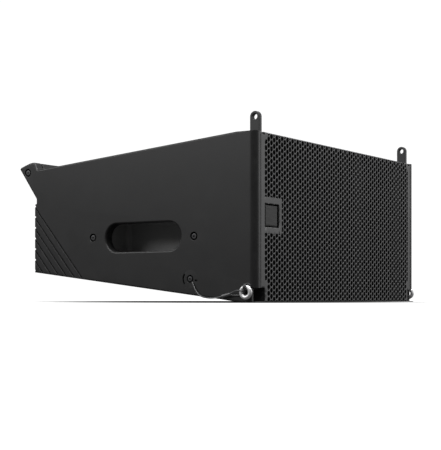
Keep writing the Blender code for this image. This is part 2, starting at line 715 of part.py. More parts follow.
def rigging_frame(side):
    """Vertical steel channel with its foot plate, open towards the side panel."""
    tag = side_name(side)
    w0, w1, d0, d1, sheet = CHANNEL.values()
    back = w1 - sheet
    corners = (outside(side, w0, d0, 0.0), outside(side, w1, d1, HEIGHT - 1.8))
    frame = boxes(f"rigging_frame_{tag}", [corners])
    corners = (outside(side, 10, d0 + sheet, -5), outside(side, back, d1 - sheet, HEIGHT + 5))
    cut(frame, boxes(f"channel_hollow_{tag}", [corners], CUTTERS))
    corners = (outside(side, 10, -5, FOOT_PLATE), outside(side, back, d0 + sheet + 0.5, RECEIVER_TOP))
    cut(frame, boxes(f"channel_mouth_{tag}", [corners], CUTTERS))
    badge = outside(side, BADGE_INSET, 0, BADGE_Z)
    corners = (badge + Vector((-21.5, -5, -18.5)), badge + Vector((21.5, d0 + sheet, 18.5)))
    cut(frame, boxes(f"badge_relief_{tag}", [corners], CUTTERS))
    corners = (outside(side, 1.0, 0.4, 0.0), outside(side, w1 - 1.0, 4.6, FOOT_PLATE))
    join(frame, boxes(f"foot_plate_{tag}", [corners], CUTTERS))
    ends = (outside(side, 22, LINK_DEPTH_AT, PIN_Z), outside(side, 40, LINK_DEPTH_AT, PIN_Z), 4.4)
    cut(frame, rods(f"channel_pin_hole_{tag}", [ends], CUTTERS))
    finish(frame, "black_steel")


def front_link(side):
    """Flat steel link: its bar runs in the channel and its round-ended tab stands above the box."""
    tag = side_name(side)
    half = LINK_WIDTH / 2
    top = TAB_HOLE_Z
    outline = [(LINK_DEPTH_AT - half, 252.6), (LINK_DEPTH_AT + half, 252.6)]
    for step in range(17):
        turn = math.radians(step * 180 / 16)
        outline.append((LINK_DEPTH_AT + half * math.cos(turn), top + half * math.sin(turn)))
    inner = WIDTH / 2 - LINK_INNER
    outer = inner - LINK_THICKNESS
    origin = (side * (inner + outer) / 2, LINK_DEPTH_AT - DEPTH / 2, LINK_FOOT)
    x0 = side * (inner - 0.4)
    x1 = side * (outer + 0.4)
    link = profile_plate(f"front_link_{tag}", outline, x0, x1, origin=origin)
    low = world(side * inner, LINK_DEPTH_AT - half, LINK_FOOT)
    corners = (low, world(side * outer, LINK_DEPTH_AT + half, 253.0))
    join(link, boxes(f"link_bar_{tag}", [corners], CUTTERS))
    near = world(side * (inner + 5), LINK_DEPTH_AT, top)
    far = world(side * (outer - 5), LINK_DEPTH_AT, top)
    cut(link, rods(f"link_hole_{tag}", [(near, far, TAB_HOLE_RADIUS)], CUTTERS))
    finish(link, "black_steel")


def pin_and_ring(name, place, out, length):
    """A pin along x with a flat-sided head, and the pull ring through that head.

    place is on the pin's axis at the seat of its collar, and out is +1 or -1 towards its head.
    """
    place = Vector(place)
    way = Vector((out, 0, 0))
    outline = [(0.0, 1.5), (6.2, 1.5), (6.2, 0.0), (PIN_RADIUS, 0.0), (PIN_RADIUS, -length + 1.5)]
    outline += [(PIN_RADIUS - 1.2, -length), (0.0, -length)]
    pin = turned(name, outline, place, way, sides=16)
    near = place + way * 1.0
    far = place + way * (RING_OUT + RING_EYE + 1.8)
    blade = Vector((0, 2.0, RING_EYE + 2.0))
    join(pin, boxes(name + "_head", [(near - blade, far + blade)]))
    eye = place + way * (RING_OUT - GAP)
    reach = Vector((0, 9, 0))
    cut(pin, rods(name + "_hole", [(eye - reach, eye + reach, RING_EYE)], CUTTERS, sides=16))
    finish(pin, "chrome")
    middle = eye - Vector((0, 0, RING_RADIUS))
    ring = torus(name.replace("pin", "pin_ring"), middle, (1, 0, 0), RING_RADIUS, RING_WIRE)
    shift = Matrix.Translation(Vector((0, 0, -RING_RADIUS * MM)))
    bpy.context.view_layer.update()
    ring.data.transform(shift @ ring.matrix_world.to_3x3().to_4x4())
    ring.matrix_world = Matrix.Translation(eye * MM)
    finish(ring, "chrome")


def lanyard(side):
    tag = side_name(side)
    place = [outside(side, w, depth, z) for depth, z, w in LANYARD_ROUTE]
    finish(tube(f"lanyard_{tag}", smooth_route(place, 4.0), WIRE_RADIUS), "coated_wire")
    loop_points = smooth_route([outside(side, w, depth, z) for depth, z, w in EYE_ROUTE], 2.6)
    loop = curve_to_mesh(f"eye_loop_{tag}", tube(f"eye_wire_{tag}", loop_points, 0.9), CUTTERS)
    ends = [outside(side, w, depth, z) for depth, z, w in FERRULE]
    eye = rods(f"lanyard_eye_{tag}", [(*ends, FERRULE_RADIUS)], sides=16)
    join(eye, loop)
    finish(eye, "coated_wire")
    anchor_outline = [(3.0, 0.0), (ANCHOR_RADIUS, 0.0), (ANCHOR_RADIUS, -1.8), (3.0, -1.8)]
    place = outside(side, 0.4, *ANCHOR)
    anchor = turned(f"lanyard_anchor_{tag}", anchor_outline, place, (side, 0, 0), closed=True, sides=32)
    finish(anchor, "black_steel")
    screw(f"lanyard_screw_{tag}", side, *ANCHOR, -2.2, 5.2, 17.0)


# ---------------------------------------------------------------- rear rigging and connectors

def rear_rigging():
    depth, z = ARM_PIVOT
    bracket = boxes("rear_bracket", [(
        world(-CHEEK_OUTER, SLOT_FRONT + GAP, 172.0), world(CHEEK_OUTER, 452.0, 218.0))])
    cut(bracket, boxes("bracket_slot", [(
        world(-CHEEK_INNER, SLOT_FRONT + GAP + 2.4, 165.0), world(CHEEK_INNER, 460.0, 225.0))], CUTTERS))
    flange = boxes("bracket_flange", [(
        world(-22.0, SLOT_FRONT + GAP, 182.0), world(22.0, SLOT_FRONT + GAP + 2.4, 216.0))], CUTTERS)
    join(bracket, flange)
    cut(bracket, rods("bracket_bore", [(world(-20, depth, z), world(20, depth, z), 4.3)], CUTTERS))
    finish(bracket, "black_steel")

    plate = REAR_FACE + GAP
    receiver = boxes("rear_receiver", [(world(-CHEEK_OUTER, plate, 50.0), world(CHEEK_OUTER, 450.0, 108.0))])
    cut(receiver, boxes("receiver_slot", [(
        world(-CHEEK_INNER, plate + 2.4, 40.0), world(CHEEK_INNER, 460.0, 120.0))], CUTTERS))
    join(receiver, boxes("receiver_flange", [(
        world(-22.0, plate, 54.0), world(22.0, plate + 2.4, 104.0))], CUTTERS))
    splay = []
    for index in range(3):
        height = 62.0 + index * 17.0
        splay.append((world(-20, depth, height), world(20, depth, height), PIN_RADIUS + 0.3))
    cut(receiver, rods("splay_holes", splay, CUTTERS, sides=12))
    finish(receiver, "black_steel")

    half = ARM_WIDTH / 2
    outline = []
    for centre, first in ((z, 0), (z - ARM_LENGTH + ARM_WIDTH, 180)):
        for step in range(13):
            turn = math.radians(first + step * 15)
            outline.append((depth + half * math.cos(turn), centre + half * math.sin(turn)))
    pivot = world(0, depth, z)
    arm = profile_plate("rear_arm", outline, -ARM_HALF_THICKNESS, ARM_HALF_THICKNESS, origin=pivot)
    holes = []
    for drop, radius in ((0, 4.3), (ARM_LENGTH - ARM_WIDTH, PIN_RADIUS + 0.3)):
        holes.append((world(-9, depth, z - drop), world(9, depth, z - drop), radius))
    cut(arm, rods("arm_holes", holes, CUTTERS))
    finish(arm, "black_steel")

    bolt = [(0.0, 11.2), (6.0, 11.2), (6.0, 8.0), (4.0, 8.0)]
    bolt += [(radius, -height) for radius, height in reversed(bolt)]
    finish(turned("rear_arm_pivot", bolt, pivot, (1, 0, 0), sides=24), "black_steel")
    seat = world(-ARM_HALF_THICKNESS - GAP, depth, z - ARM_LENGTH + ARM_WIDTH)
    pin_and_ring("rear_pin", seat, -1, 2 * ARM_HALF_THICKNESS + 7)


def input_panel():
    half_x, half_z = PLATE_HALF
    face = REAR_FACE + GAP
    low = world(PLATE_X - half_x, face, PLATE_Z - half_z)
    plate = boxes("input_plate", [(low, world(PLATE_X + half_x, face + 2.0, PLATE_Z + half_z))])
    openings = []
    for way in (-1, 1):
        z = PLATE_Z + way * SOCKET_SPACING / 2
        openings.append((world(PLATE_X, 410, z), world(PLATE_X, 430, z), SOCKET_RADIUS))
    cut(plate, rods("socket_openings", openings, CUTTERS, sides=32))
    screw_holes = []
    for way in (-1, 1):
        z = PLATE_Z + way * (half_z - 4)
        screw_holes.append((world(PLATE_X, 410, z), world(PLATE_X, 430, z), 1.9))
    cut(plate, rods("plate_screw_holes", screw_holes, CUTTERS, sides=16))
    finish(plate, "black_steel")
    for name, way in (("lower", -1), ("upper", 1)):
        bolt = [(0.0, 2.0), (3.2, 2.0), (3.2, 0.0), (1.5, 0.0), (1.5, -12.0), (0.0, -12.0)]
        place = world(PLATE_X, face + 2.0 + GAP, PLATE_Z + way * (half_z - 4))
        finish(turned(f"input_plate_screw_{name}", bolt, place, (0, 1, 0), sides=12), "black_steel")
        z = PLATE_Z + way * SOCKET_SPACING / 2
        outline = [
            (0.0, -15.0), (9.6, -15.0), (9.6, 1.6), (SOCKET_RADIUS + 3, 1.6),
            (SOCKET_RADIUS + 3, 0.0), (SOCKET_RADIUS - GAP, 0.0), (SOCKET_RADIUS - GAP, -22.0), (0.0, -22.0),
        ]
        place = world(PLATE_X, face + 2.0 + GAP, z)
        socket = turned(f"input_socket_{name}", outline, place, (0, 1, 0), sides=24)
        finish(socket, "socket_plastic")


def build():
    for side in (-1, 1):
        side_panel(side)
        handle_cup(side)
        side_fixings(side)
        rigging_frame(side)
        front_link(side)
        pin_and_ring(f"pin_{side_name(side)}", outside(side, -GAP, LINK_DEPTH_AT, PIN_Z), side, 33.0)
        lanyard(side)
        woofer(side)
    cabinet_panels()
    front_baffle()
    rear_beam()
    grille()
    grille_foam()
    high_frequency()
    crossover()
    rear_rigging()
    input_panel()


build()
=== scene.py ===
import json
import math

import bmesh
import bpy
from mathutils import Matrix, Vector

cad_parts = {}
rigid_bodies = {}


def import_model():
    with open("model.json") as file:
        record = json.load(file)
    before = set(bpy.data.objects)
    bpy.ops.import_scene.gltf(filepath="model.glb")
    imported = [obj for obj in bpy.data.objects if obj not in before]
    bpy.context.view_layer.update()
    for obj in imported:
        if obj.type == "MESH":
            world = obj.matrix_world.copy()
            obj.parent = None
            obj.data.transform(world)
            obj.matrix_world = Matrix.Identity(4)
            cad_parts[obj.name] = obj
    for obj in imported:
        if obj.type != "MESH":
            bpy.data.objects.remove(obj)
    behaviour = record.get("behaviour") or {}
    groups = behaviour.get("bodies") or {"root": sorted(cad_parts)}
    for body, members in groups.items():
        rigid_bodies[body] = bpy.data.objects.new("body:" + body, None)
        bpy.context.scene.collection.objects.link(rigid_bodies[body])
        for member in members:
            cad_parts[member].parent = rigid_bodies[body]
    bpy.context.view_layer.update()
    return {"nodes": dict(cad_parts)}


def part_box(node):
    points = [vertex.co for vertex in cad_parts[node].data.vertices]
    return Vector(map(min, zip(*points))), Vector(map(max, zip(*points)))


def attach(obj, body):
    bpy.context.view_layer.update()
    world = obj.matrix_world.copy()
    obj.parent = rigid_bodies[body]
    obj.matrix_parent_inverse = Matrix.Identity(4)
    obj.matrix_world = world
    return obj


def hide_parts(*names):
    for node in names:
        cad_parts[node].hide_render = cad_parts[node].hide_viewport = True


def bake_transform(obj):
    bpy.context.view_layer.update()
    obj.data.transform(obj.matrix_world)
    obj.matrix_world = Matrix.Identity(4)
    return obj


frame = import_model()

# Looks of the compact line array loudspeaker. Points are (x, depth, z) in millimetres: x from the
# middle of the box, depth behind its front plane, z above the floor.

MM = 0.001


def box_mm(node):
    """A CAD node's lowest and highest corners, in millimetres."""
    low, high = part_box(node)
    return Vector([round(v / MM, 2) for v in low]), Vector([round(v / MM, 2) for v in high])


# Driving dimensions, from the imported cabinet
SIDE_LOW, SIDE_HIGH = box_mm("side_panel_left")
HALF = -SIDE_LOW.x
FRONT = SIDE_LOW.y
DEPTH = SIDE_HIGH.y - SIDE_LOW.y
HEIGHT = SIDE_HIGH.z
SIDE_PLY = SIDE_HIGH.x - SIDE_LOW.x
GAP = 0.3
PLY = 15.0
FLAT_TOP = 34.0
FLAT_BOTTOM = 23.6
TOP_SLOPE = 0.0894
BOTTOM_SLOPE = 0.121
REAR_FACE = 420.3
RIB_CREST = 424.0
EDGE_RADIUS = 11.0
RECEIVER_TOP = 21.5
SIDE_RIM = 2.6

# Rib grooves on the rear of each side panel
GROOVE_COUNT = 6
GROOVE_TOP = 156.8
GROOVE_PITCH = 17.45
GROOVE_ANGLE = math.radians(49.6)
GROOVE_DEPTH = 2.6

# Side fittings, as (depth, z)
HANDLE_AT = (204.0, 100.4)
HANDLE_SIZE = (144.0, 44.0)
HANDLE_SCREWS = {"front": (108.2, 99.1), "rear": (301.2, 101.8)}
BEAM_SCREW = (438.1, 212.0)
ANCHOR = (115.0, 35.2)
ANCHOR_RADIUS = 14.0
ANCHOR_SLOT = (11.2, 13.5, 143, 217)     # inner and outer radius, first and last angle
PIN_AT = (13.05, 22.5)
PIN_BORE = 4.4
SCREW_RECESS = 6.2
RECESS_DROP = 7.0
FOOT_SKIN = 5.5
FOOT_DEPTH = 24.0
CHANNEL_INSET = 29.9

# Lanyard route and eye, as (depth, z, inset from the side's outer face)
LANYARD_ROUTE = [
    (110.2, 30.4, -0.9), (108.5, 27.4, -1.3), (106.2, 23.2, -1.9), (102.2, 17.0, -2.6), (96.4, 11.4, -3.1),
    (88.8, 8.1, -3.4), (80.6, 6.7, -3.6), (72.6, 6.4, -3.7), (65.6, 7.1, -3.7), (60.8, 7.9, -3.7),
    (56.4, 8.8, -3.7),
]
FERRULE = [(55.8, 8.9, -3.7), (41.0, 12.5, -3.7)]
FERRULE_RADIUS = 2.3
EYE_ROUTE = [
    (43.0, 12.9, -3.8), (39.4, 14.2, -4.2), (35.0, 15.4, -5.2), (30.4, 16.7, -7.6), (25.2, 17.5, -9.8),
    (20.6, 17.6, -10.5), (17.3, 16.6, -9.1), (16.0, 15.0, -6.0), (17.2, 13.2, -2.8), (20.6, 11.8, -1.5),
    (25.4, 10.9, -1.6), (31.0, 10.6, -2.4), (36.0, 10.7, -3.1), (39.4, 11.0, -3.5), (43.0, 11.3, -3.7),
]
WIRE_RADIUS = 1.0

# How far the pull ring's eye stands out from its pin's seat, and the eye's radius
RING_OUT = 6.0
RING_EYE = 3.7

# Grille sheet and its perforation
GRILLE_HALF = box_mm("grille")[1].x
GRILLE_RETURN = box_mm("grille")[1].y - FRONT
GRILLE_SHEET = 0.7
GRILLE_BEND = 2.6
HOLE_PITCH = 9.07
HOLE_RADIUS = 3.9
FIRST_HOLE = (29.45, 8.65)               # inset from the left side, and height
BADGE_INSET = 46.5
BADGE_Z = 128.0
BADGE_HALF = (17.6, 15.4)
BADGE_FACE_HALF = (16.6, 14.2)

# Rear fittings
SLOT_HALF_WIDTH = 26.0
SLOT_FRONT = 428.0
ARM_PIVOT = (441.5, 206.0)
ARM_LENGTH = 92.0
ARM_WIDTH = 19.0
PLATE_X = -118.0
PLATE_Z = 108.0
PLATE_HALF = (33.0, 56.0)
SOCKET_RADIUS = 13.0
SOCKET_SPACING = 44.0
BOLT_BORE = 4.3

SIDES = ((-1, "left"), (1, "right"))


def top_line(depth):
    """Height of the cabinet's top surface at a depth."""
    return HEIGHT if depth <= FLAT_TOP else HEIGHT - TOP_SLOPE * (depth - FLAT_TOP)


def bottom_line(depth):
    """Height of the cabinet's bottom surface at a depth."""
    return 0.0 if depth <= FLAT_BOTTOM else BOTTOM_SLOPE * (depth - FLAT_BOTTOM)


def world(x, depth, z):
    return Vector((x, depth + FRONT, z))


def outside(side, inset, depth, z):
    """A point measured inwards from the outer face of the left (-1) or right (1) side."""
    return world(side * (HALF - inset), depth, z)


# ---------------------------------------------------------------- building tools

def link(name, mesh):
    item = bpy.data.objects.new(name, mesh)
    bpy.context.scene.collection.objects.link(item)
    return item


def mesh_object(name, bm):
    """An object from a mesh in millimetres."""
    bmesh.ops.scale(bm, verts=bm.verts, vec=(MM, MM, MM))
    mesh = bpy.data.meshes.new(name)
    bm.to_mesh(mesh)
    bm.free()
    return link(name, mesh)


def bake(item):
    """Turns an object into a plain mesh in place, with its modifiers applied."""
    bpy.context.view_layer.update()
    graph = bpy.context.evaluated_depsgraph_get()
    mesh = bpy.data.meshes.new_from_object(item.evaluated_get(graph))
    mesh.transform(item.matrix_world)
    name = item.name
    bpy.data.objects.remove(item)
    bm = bmesh.new()
    bm.from_mesh(mesh)
    bmesh.ops.remove_doubles(bm, verts=bm.verts, dist=1e-6)
    bm.to_mesh(mesh)
    bm.free()
    return link(name, mesh)


def carve(item, *cutters, operation="DIFFERENCE"):
    """Cuts a piece with closed meshes, or joins them to it, and removes them."""
    for cutter in cutters:
        modifier = item.modifiers.new("carve", "BOOLEAN")
        modifier.operation = operation
        modifier.object = cutter
        modifier.solver = "EXACT"
    item = bake(item)
    for cutter in cutters:
        bpy.data.objects.remove(cutter)
    return item


def soften(item, angle=38.0):
    """Smooth shading that keeps large faces flat and sharp corners sharp."""
    item.data.shade_smooth()
    item.data.set_sharp_from_angle(angle=math.radians(angle))
    modifier = item.modifiers.new("face_weighting", "WEIGHTED_NORMAL")
    modifier.keep_sharp = True
    return item


def blocks(name, corners, rounding=0.0, segments=3):
    """One object from boxes between opposite corners, with rounded edges."""
    bm = bmesh.new()
    for first, second in corners:
        low = Vector([min(pair) for pair in zip(first, second)])
        high = Vector([max(pair) for pair in zip(first, second)])
        size = Matrix.Diagonal((*(high - low), 1.0))
        bmesh.ops.create_cube(bm, size=1.0, matrix=Matrix.Translation((low + high) / 2) @ size)
    if rounding:
        bmesh.ops.bevel(bm, geom=bm.edges[:], offset=rounding, segments=segments, affect="EDGES", profile=0.5)
    return mesh_object(name, bm)


def rods(name, ends, sides=48):
    """One object from closed cylinders, each (start, end, radius)."""
    bm = bmesh.new()
    for start, end, radius in ends:
        turn = Vector((0, 0, 1)).rotation_difference(end - start).to_matrix().to_4x4()
        bmesh.ops.create_cone(
            bm, cap_ends=True, segments=sides, radius1=radius, radius2=radius,
            depth=(end - start).length, matrix=Matrix.Translation((start + end) / 2) @ turn)
    return mesh_object(name, bm)


def turned(name, outline, place, axis, closed=False, sides=48):
    """A turned solid: (radius, height) points down its outer side, heights along axis."""
    mesh = bpy.data.meshes.new(name)
    edges = [(index, index + 1) for index in range(len(outline) - 1)]
    if closed:
        edges.append((len(outline) - 1, 0))
    mesh.from_pydata([(radius * MM, 0, height * MM) for radius, height in outline], edges, [])
    item = link(name, mesh)
    item.matrix_world = Matrix.Translation(place * MM) @ (
        Vector((0, 0, 1)).rotation_difference(Vector(axis)).to_matrix().to_4x4())
    screw = item.modifiers.new("turn", "SCREW")
    screw.steps = sides
    screw.render_steps = sides
    screw.use_merge_vertices = True
    screw.merge_threshold = 0.00001
    return bake(item)


def arc(centre, radius, first, last, steps):
    """Points on an arc between two angles in degrees."""
    points = []
    for step in range(steps + 1):
        turn = math.radians(first + (last - first) * step / steps)
        points.append((centre[0] + radius * math.cos(turn), centre[1] + radius * math.sin(turn)))
    return points


def rounded_rectangle(centre, half, radius, steps=6):
    points = []
    for corner, (across, up) in enumerate(((1, 1), (-1, 1), (-1, -1), (1, -1))):
        middle = (centre[0] + across * (half[0] - radius), centre[1] + up * (half[1] - radius))
        points += arc(middle, radius, corner * 90, corner * 90 + 90, steps)
    return points


# How a flat outline's two directions and its thickness lie in the world
OUTLINE_PLANES = {
    "X": Matrix(((0, 0, 1), (1, 0, 0), (0, 1, 0))),
    "Y": Matrix(((1, 0, 0), (0, 0, -1), (0, 1, 0))),
    "Z": Matrix.Identity(3),
}


def plate(name, outlines, start, end, rim, along="X", steps=2):
    """A flat piece with rounded rims. Its first outline is its edge, and the others are holes.

    Outlines are (depth, z) along X, (x, z) along Y and (x, depth) along Z.
    """
    curve = bpy.data.curves.new(name, "CURVE")
    curve.dimensions = "2D"
    curve.fill_mode = "BOTH"
    curve.extrude = (abs(end - start) / 2 - rim) * MM
    curve.bevel_depth = rim * MM
    curve.bevel_resolution = steps
    curve.offset = -rim * MM
    shift = {"X": (FRONT, 0), "Y": (0, 0), "Z": (0, FRONT)}[along]
    for outline in outlines:
        spline = curve.splines.new("POLY")
        spline.points.add(len(outline) - 1)
        for point, (first, second) in zip(spline.points, outline):
            point.co = ((first + shift[0]) * MM, (second + shift[1]) * MM, 0, 1)
        spline.use_cyclic_u = True
    item = link(name, curve)
    middle = (start + end) / 2 + (FRONT if along == "Y" else 0)
    offset = Vector([middle * MM if axis == along else 0 for axis in "XYZ"])
    item.matrix_world = Matrix.Translation(offset) @ OUTLINE_PLANES[along].to_4x4()
    return bake(item)


def smooth_route(route, spacing):
    """Points about a spacing apart on a Catmull-Rom curve through a route."""
    points = [Vector(point) for point in route]
    padded = [2 * points[0] - points[1], *points, 2 * points[-1] - points[-2]]
    result = []
    for before, start, end, after in zip(padded, padded[1:], padded[2:], padded[3:]):
        count = max(1, round((end - start).length / spacing))
        for step in range(count):
            t = step / count
            result.append(0.5 * (
                2 * start + (end - before) * t
                + (2 * before - 5 * start + 4 * end - after) * t ** 2
                + (3 * start - before - 3 * end + after) * t ** 3))
    result.append(points[-1])
    return result


def swept(name, points, radius, sides=18, lobes=0, lobe_depth=0.0, pitch=1.0):
    """A closed tube along points. Lobes twist round it once in each pitch, like a rope's strands."""
    bm = bmesh.new()
    rings = []
    normal = (points[1] - points[0]).orthogonal().normalized()
    travelled = 0.0
    for index, point in enumerate(points):
        before = points[max(index - 1, 0)]
        after = points[min(index + 1, len(points) - 1)]
        tangent = (after - before).normalized()
        normal = (normal - tangent * normal.dot(tangent)).normalized()
        binormal = tangent.cross(normal)
        travelled += (point - before).length
        twist = 2 * math.pi * travelled / pitch if lobes else 0.0
        ring = []
        for step in range(sides):
            turn = 2 * math.pi * step / sides
            reach = radius * (1 - lobe_depth * (0.5 - 0.5 * math.cos(lobes * turn)))
            direction = normal * math.cos(turn + twist) + binormal * math.sin(turn + twist)
            ring.append(bm.verts.new(point + direction * reach))
        rings.append(ring)
    for first, second in zip(rings, rings[1:]):
        for step in range(sides):
            following = (step + 1) % sides
            bm.faces.new((first[step], first[following], second[following], second[step]))
    bm.faces.new(list(reversed(rings[0])))
    bm.faces.new(rings[-1])
    return mesh_object(name, bm)


# ---------------------------------------------------------------- materials

class Nodes:
    """A short way to add and join nodes in one material."""

    def __init__(self, name, colour, roughness, metallic):
        self.material = bpy.data.materials.new(name)
        self.material.use_nodes = True
        self.tree = self.material.node_tree
        self.shader = self.tree.nodes["Principled BSDF"]
        self.shader.inputs["Base Color"].default_value = (*colour, 1.0)
        self.shader.inputs["Roughness"].default_value = roughness
        self.shader.inputs["Metallic"].default_value = metallic
        self.place = self.add("ShaderNodeTexCoord").outputs["Object"]

    def add(self, kind, inputs=None, **settings):
        """Adds a node with its settings and the values of its inputs."""
        node = self.tree.nodes.new(kind)
        for key, value in settings.items():
            setattr(node, key, value)
        for key, value in (inputs or {}).items():
            node.inputs[key].default_value = value
        return node

    def join(self, output, target):
        self.tree.links.new(output, target)

    def paint(self, output):
        self.join(output, self.shader.inputs["Base Color"])

    def texture(self, kind, inputs, output, **settings):
        """Adds a texture laid over the object's own coordinates."""
        node = self.add(kind, inputs, **settings)
        self.join(self.place, node.inputs["Vector"])
        return node.outputs[output]

    def noise(self, scale, detail=3.0, roughness=0.55):
        inputs = {"Scale": scale, "Detail": detail, "Roughness": roughness}
        return self.texture("ShaderNodeTexNoise", inputs, "Fac")

    def cells(self, scale):
        return self.texture("ShaderNodeTexVoronoi", {"Scale": scale}, "Distance")

    def ranged(self, output, low, high, to_low, to_high):
        node = self.add("ShaderNodeMapRange", {
            "From Min": low, "From Max": high, "To Min": to_low, "To Max": to_high})
        self.join(output, node.inputs["Value"])
        return node.outputs["Result"]

    def mixed(self, factor, first, second):
        """Mixes two colours, each a colour or another node's output."""
        node = self.add("ShaderNodeMix", data_type="RGBA")
        self.join(factor, node.inputs["Factor"])
        for value, key in ((first, 6), (second, 7)):
            if isinstance(value, tuple):
                node.inputs[key].default_value = (*value, 1.0)
            else:
                self.join(value, node.inputs[key])
        return node.outputs[2]

    def bump(self, layers):
        """Stacks heights, each (output, distance in metres), into the shader's normal."""
        before = None
        for output, distance in layers:
            node = self.add("ShaderNodeBump", {"Distance": distance})
            self.join(output, node.inputs["Height"])
            if before:
                self.join(before, node.inputs["Normal"])
            before = node.outputs["Normal"]
        self.join(before, self.shader.inputs["Normal"])


def scaled(colour, factor):
    return tuple(min(1.0, channel * factor) for channel in colour)


def coated(name, colour, roughness, metallic=0.0, grain=700.0, height=0.00003, mottle=0.14, wear=0.0):
    """A painted or moulded skin: fine grain, slow mottling, uneven gloss and worn edges."""
    made = Nodes(name, colour, roughness, metallic)
    slow = made.noise(14.0, 4.0)
    shade = made.mixed(
        made.ranged(slow, 0.3, 0.7, 0.0, 1.0), scaled(colour, 1 - mottle), scaled(colour, 1 + mottle))
    if wear:
        edge = made.add("ShaderNodeNewGeometry").outputs["Pointiness"]
        rubbed = made.add("ShaderNodeMath", operation="MULTIPLY")
        made.join(made.ranged(edge, 0.53, 0.60, 0.0, wear), rubbed.inputs[0])
        made.join(made.ranged(made.noise(45.0, 6.0), 0.45, 0.65, 0.0, 1.0), rubbed.inputs[1])
        shade = made.mixed(rubbed.outputs["Value"], shade, scaled(colour, 4.0))
    made.paint(shade)
    gloss = made.ranged(made.noise(32.0, 5.0), 0.3, 0.7, roughness - 0.02, roughness + 0.03)
    made.join(gloss, made.shader.inputs["Roughness"])
    made.bump([(made.noise(grain, 2.0), height), (made.cells(grain * 0.55), height * 0.6)])
    return made


def cabinet_paint():
    """Hard black textured paint, with a fine spatter under an uneven low gloss."""
    made = coated("cabinet_paint", (0.0150, 0.0150, 0.0154), 0.43, 0.0, 620.0, 0.000035, 0.05, 0.25)
    made.shader.inputs["Specular IOR Level"].default_value = 0.45
    return made.material


def grille_paint():
    made = coated("grille_powder_coat", (0.070, 0.070, 0.071), 0.50, 0.0, 950.0, 0.00002, 0.06)
    return made.material


def foam_material():
    """Open-cell acoustic foam, its pores bumped in and painted darker as painted shade."""
    made = Nodes("acoustic_foam", (0.006, 0.006, 0.006), 1.0, 0.0)
    pore_depth_and_painted_shade = made.cells(420.0)
    # Painted shade: the colour darkens in the pores' hollows, the low points of the same bump.
    shade = made.mixed(
        made.ranged(pore_depth_and_painted_shade, 0.1, 0.6, 0.0, 1.0), (0.0015, 0.0015, 0.0015), (0.008, 0.008, 0.008))
    made.paint(shade)
    made.shader.inputs["Specular IOR Level"].default_value = 0.05
    made.bump([(pore_depth_and_painted_shade, 0.0012), (made.noise(160.0), 0.0008)])
    return made.material


def chrome():
    """Bright plated steel with fine handling scratches."""
    made = Nodes("chrome_plate", (0.84, 0.84, 0.85), 0.36, 0.55)
    scratch = made.texture("ShaderNodeTexWave", {"Scale": 180.0, "Distortion": 14.0, "Detail": 4.0}, "Fac",
                           bands_direction="DIAGONAL")
    made.join(made.ranged(scratch, 0.0, 1.0, 0.32, 0.42), made.shader.inputs["Roughness"])
    tint = made.mixed(made.noise(70.0, 4.0), (0.80, 0.80, 0.81), (0.90, 0.90, 0.90))
    made.paint(tint)
    made.bump([(made.noise(300.0, 4.0), 0.000012)])
    return made.material


def paper_cone():
    """Pressed paper pulp with short fibres."""
    made = Nodes("pressed_paper", (0.022, 0.022, 0.024), 0.85, 0.0)
    fibre = made.noise(380.0, 8.0, 0.7)
    shade = made.mixed(made.ranged(fibre, 0.35, 0.65, 0.0, 1.0), (0.014, 0.014, 0.015), (0.040, 0.040, 0.043))
    made.paint(shade)
    made.bump([(fibre, 0.00025), (made.noise(60.0), 0.0004)])
    return made.material


def copper_winding():
    """Fine enamelled wire wound in layers, with painted shade in the grooves between the turns."""
    made = Nodes("copper_winding", (0.55, 0.22, 0.09), 0.34, 0.9)
    turns_and_painted_shade = made.texture("ShaderNodeTexWave", {"Scale": 160.0}, "Fac", bands_direction="Y")
    # Painted shade: the colour is darker in the grooves between turns, following the bump.
    shade = made.mixed(turns_and_painted_shade, (0.22, 0.07, 0.03), (0.66, 0.28, 0.12))
    made.paint(shade)
    made.bump([(turns_and_painted_shade, 0.0004)])
    return made.material


def circuit_board():
    """Green solder mask over copper tracks."""
    made = Nodes("circuit_board", (0.02, 0.10, 0.05), 0.42, 0.0)
    tracks = made.add("ShaderNodeTexBrick", {
        "Scale": 34.0, "Color1": (0.018, 0.085, 0.040, 1.0), "Color2": (0.014, 0.070, 0.034, 1.0),
        "Mortar": (0.050, 0.170, 0.070, 1.0)})
    made.join(made.place, tracks.inputs["Vector"])
    made.paint(tracks.outputs["Color"])
    made.bump([(tracks.outputs["Fac"], 0.0002), (made.noise(600.0), 0.00003)])
    return made.material


def badge_finish():
    """Brushed dark enamel."""
    made = Nodes("brushed_badge", (0.010, 0.010, 0.010), 0.60, 0.0)
    stretch = made.add("ShaderNodeMapping", {"Scale": (40.0, 40.0, 1400.0)})
    made.join(made.place, stretch.inputs["Vector"])
    lines = made.add("ShaderNodeTexNoise", {"Scale": 1.0, "Detail": 3.0})
    made.join(stretch.outputs["Vector"], lines.inputs["Vector"])
    shade = made.mixed(lines.outputs["Fac"], (0.008, 0.008, 0.008), (0.013, 0.013, 0.013))
    made.paint(shade)
    made.join(made.ranged(lines.outputs["Fac"], 0.3, 0.7, 0.50, 0.62), made.shader.inputs["Roughness"])
    made.bump([(lines.outputs["Fac"], 0.00002)])
    return made.material


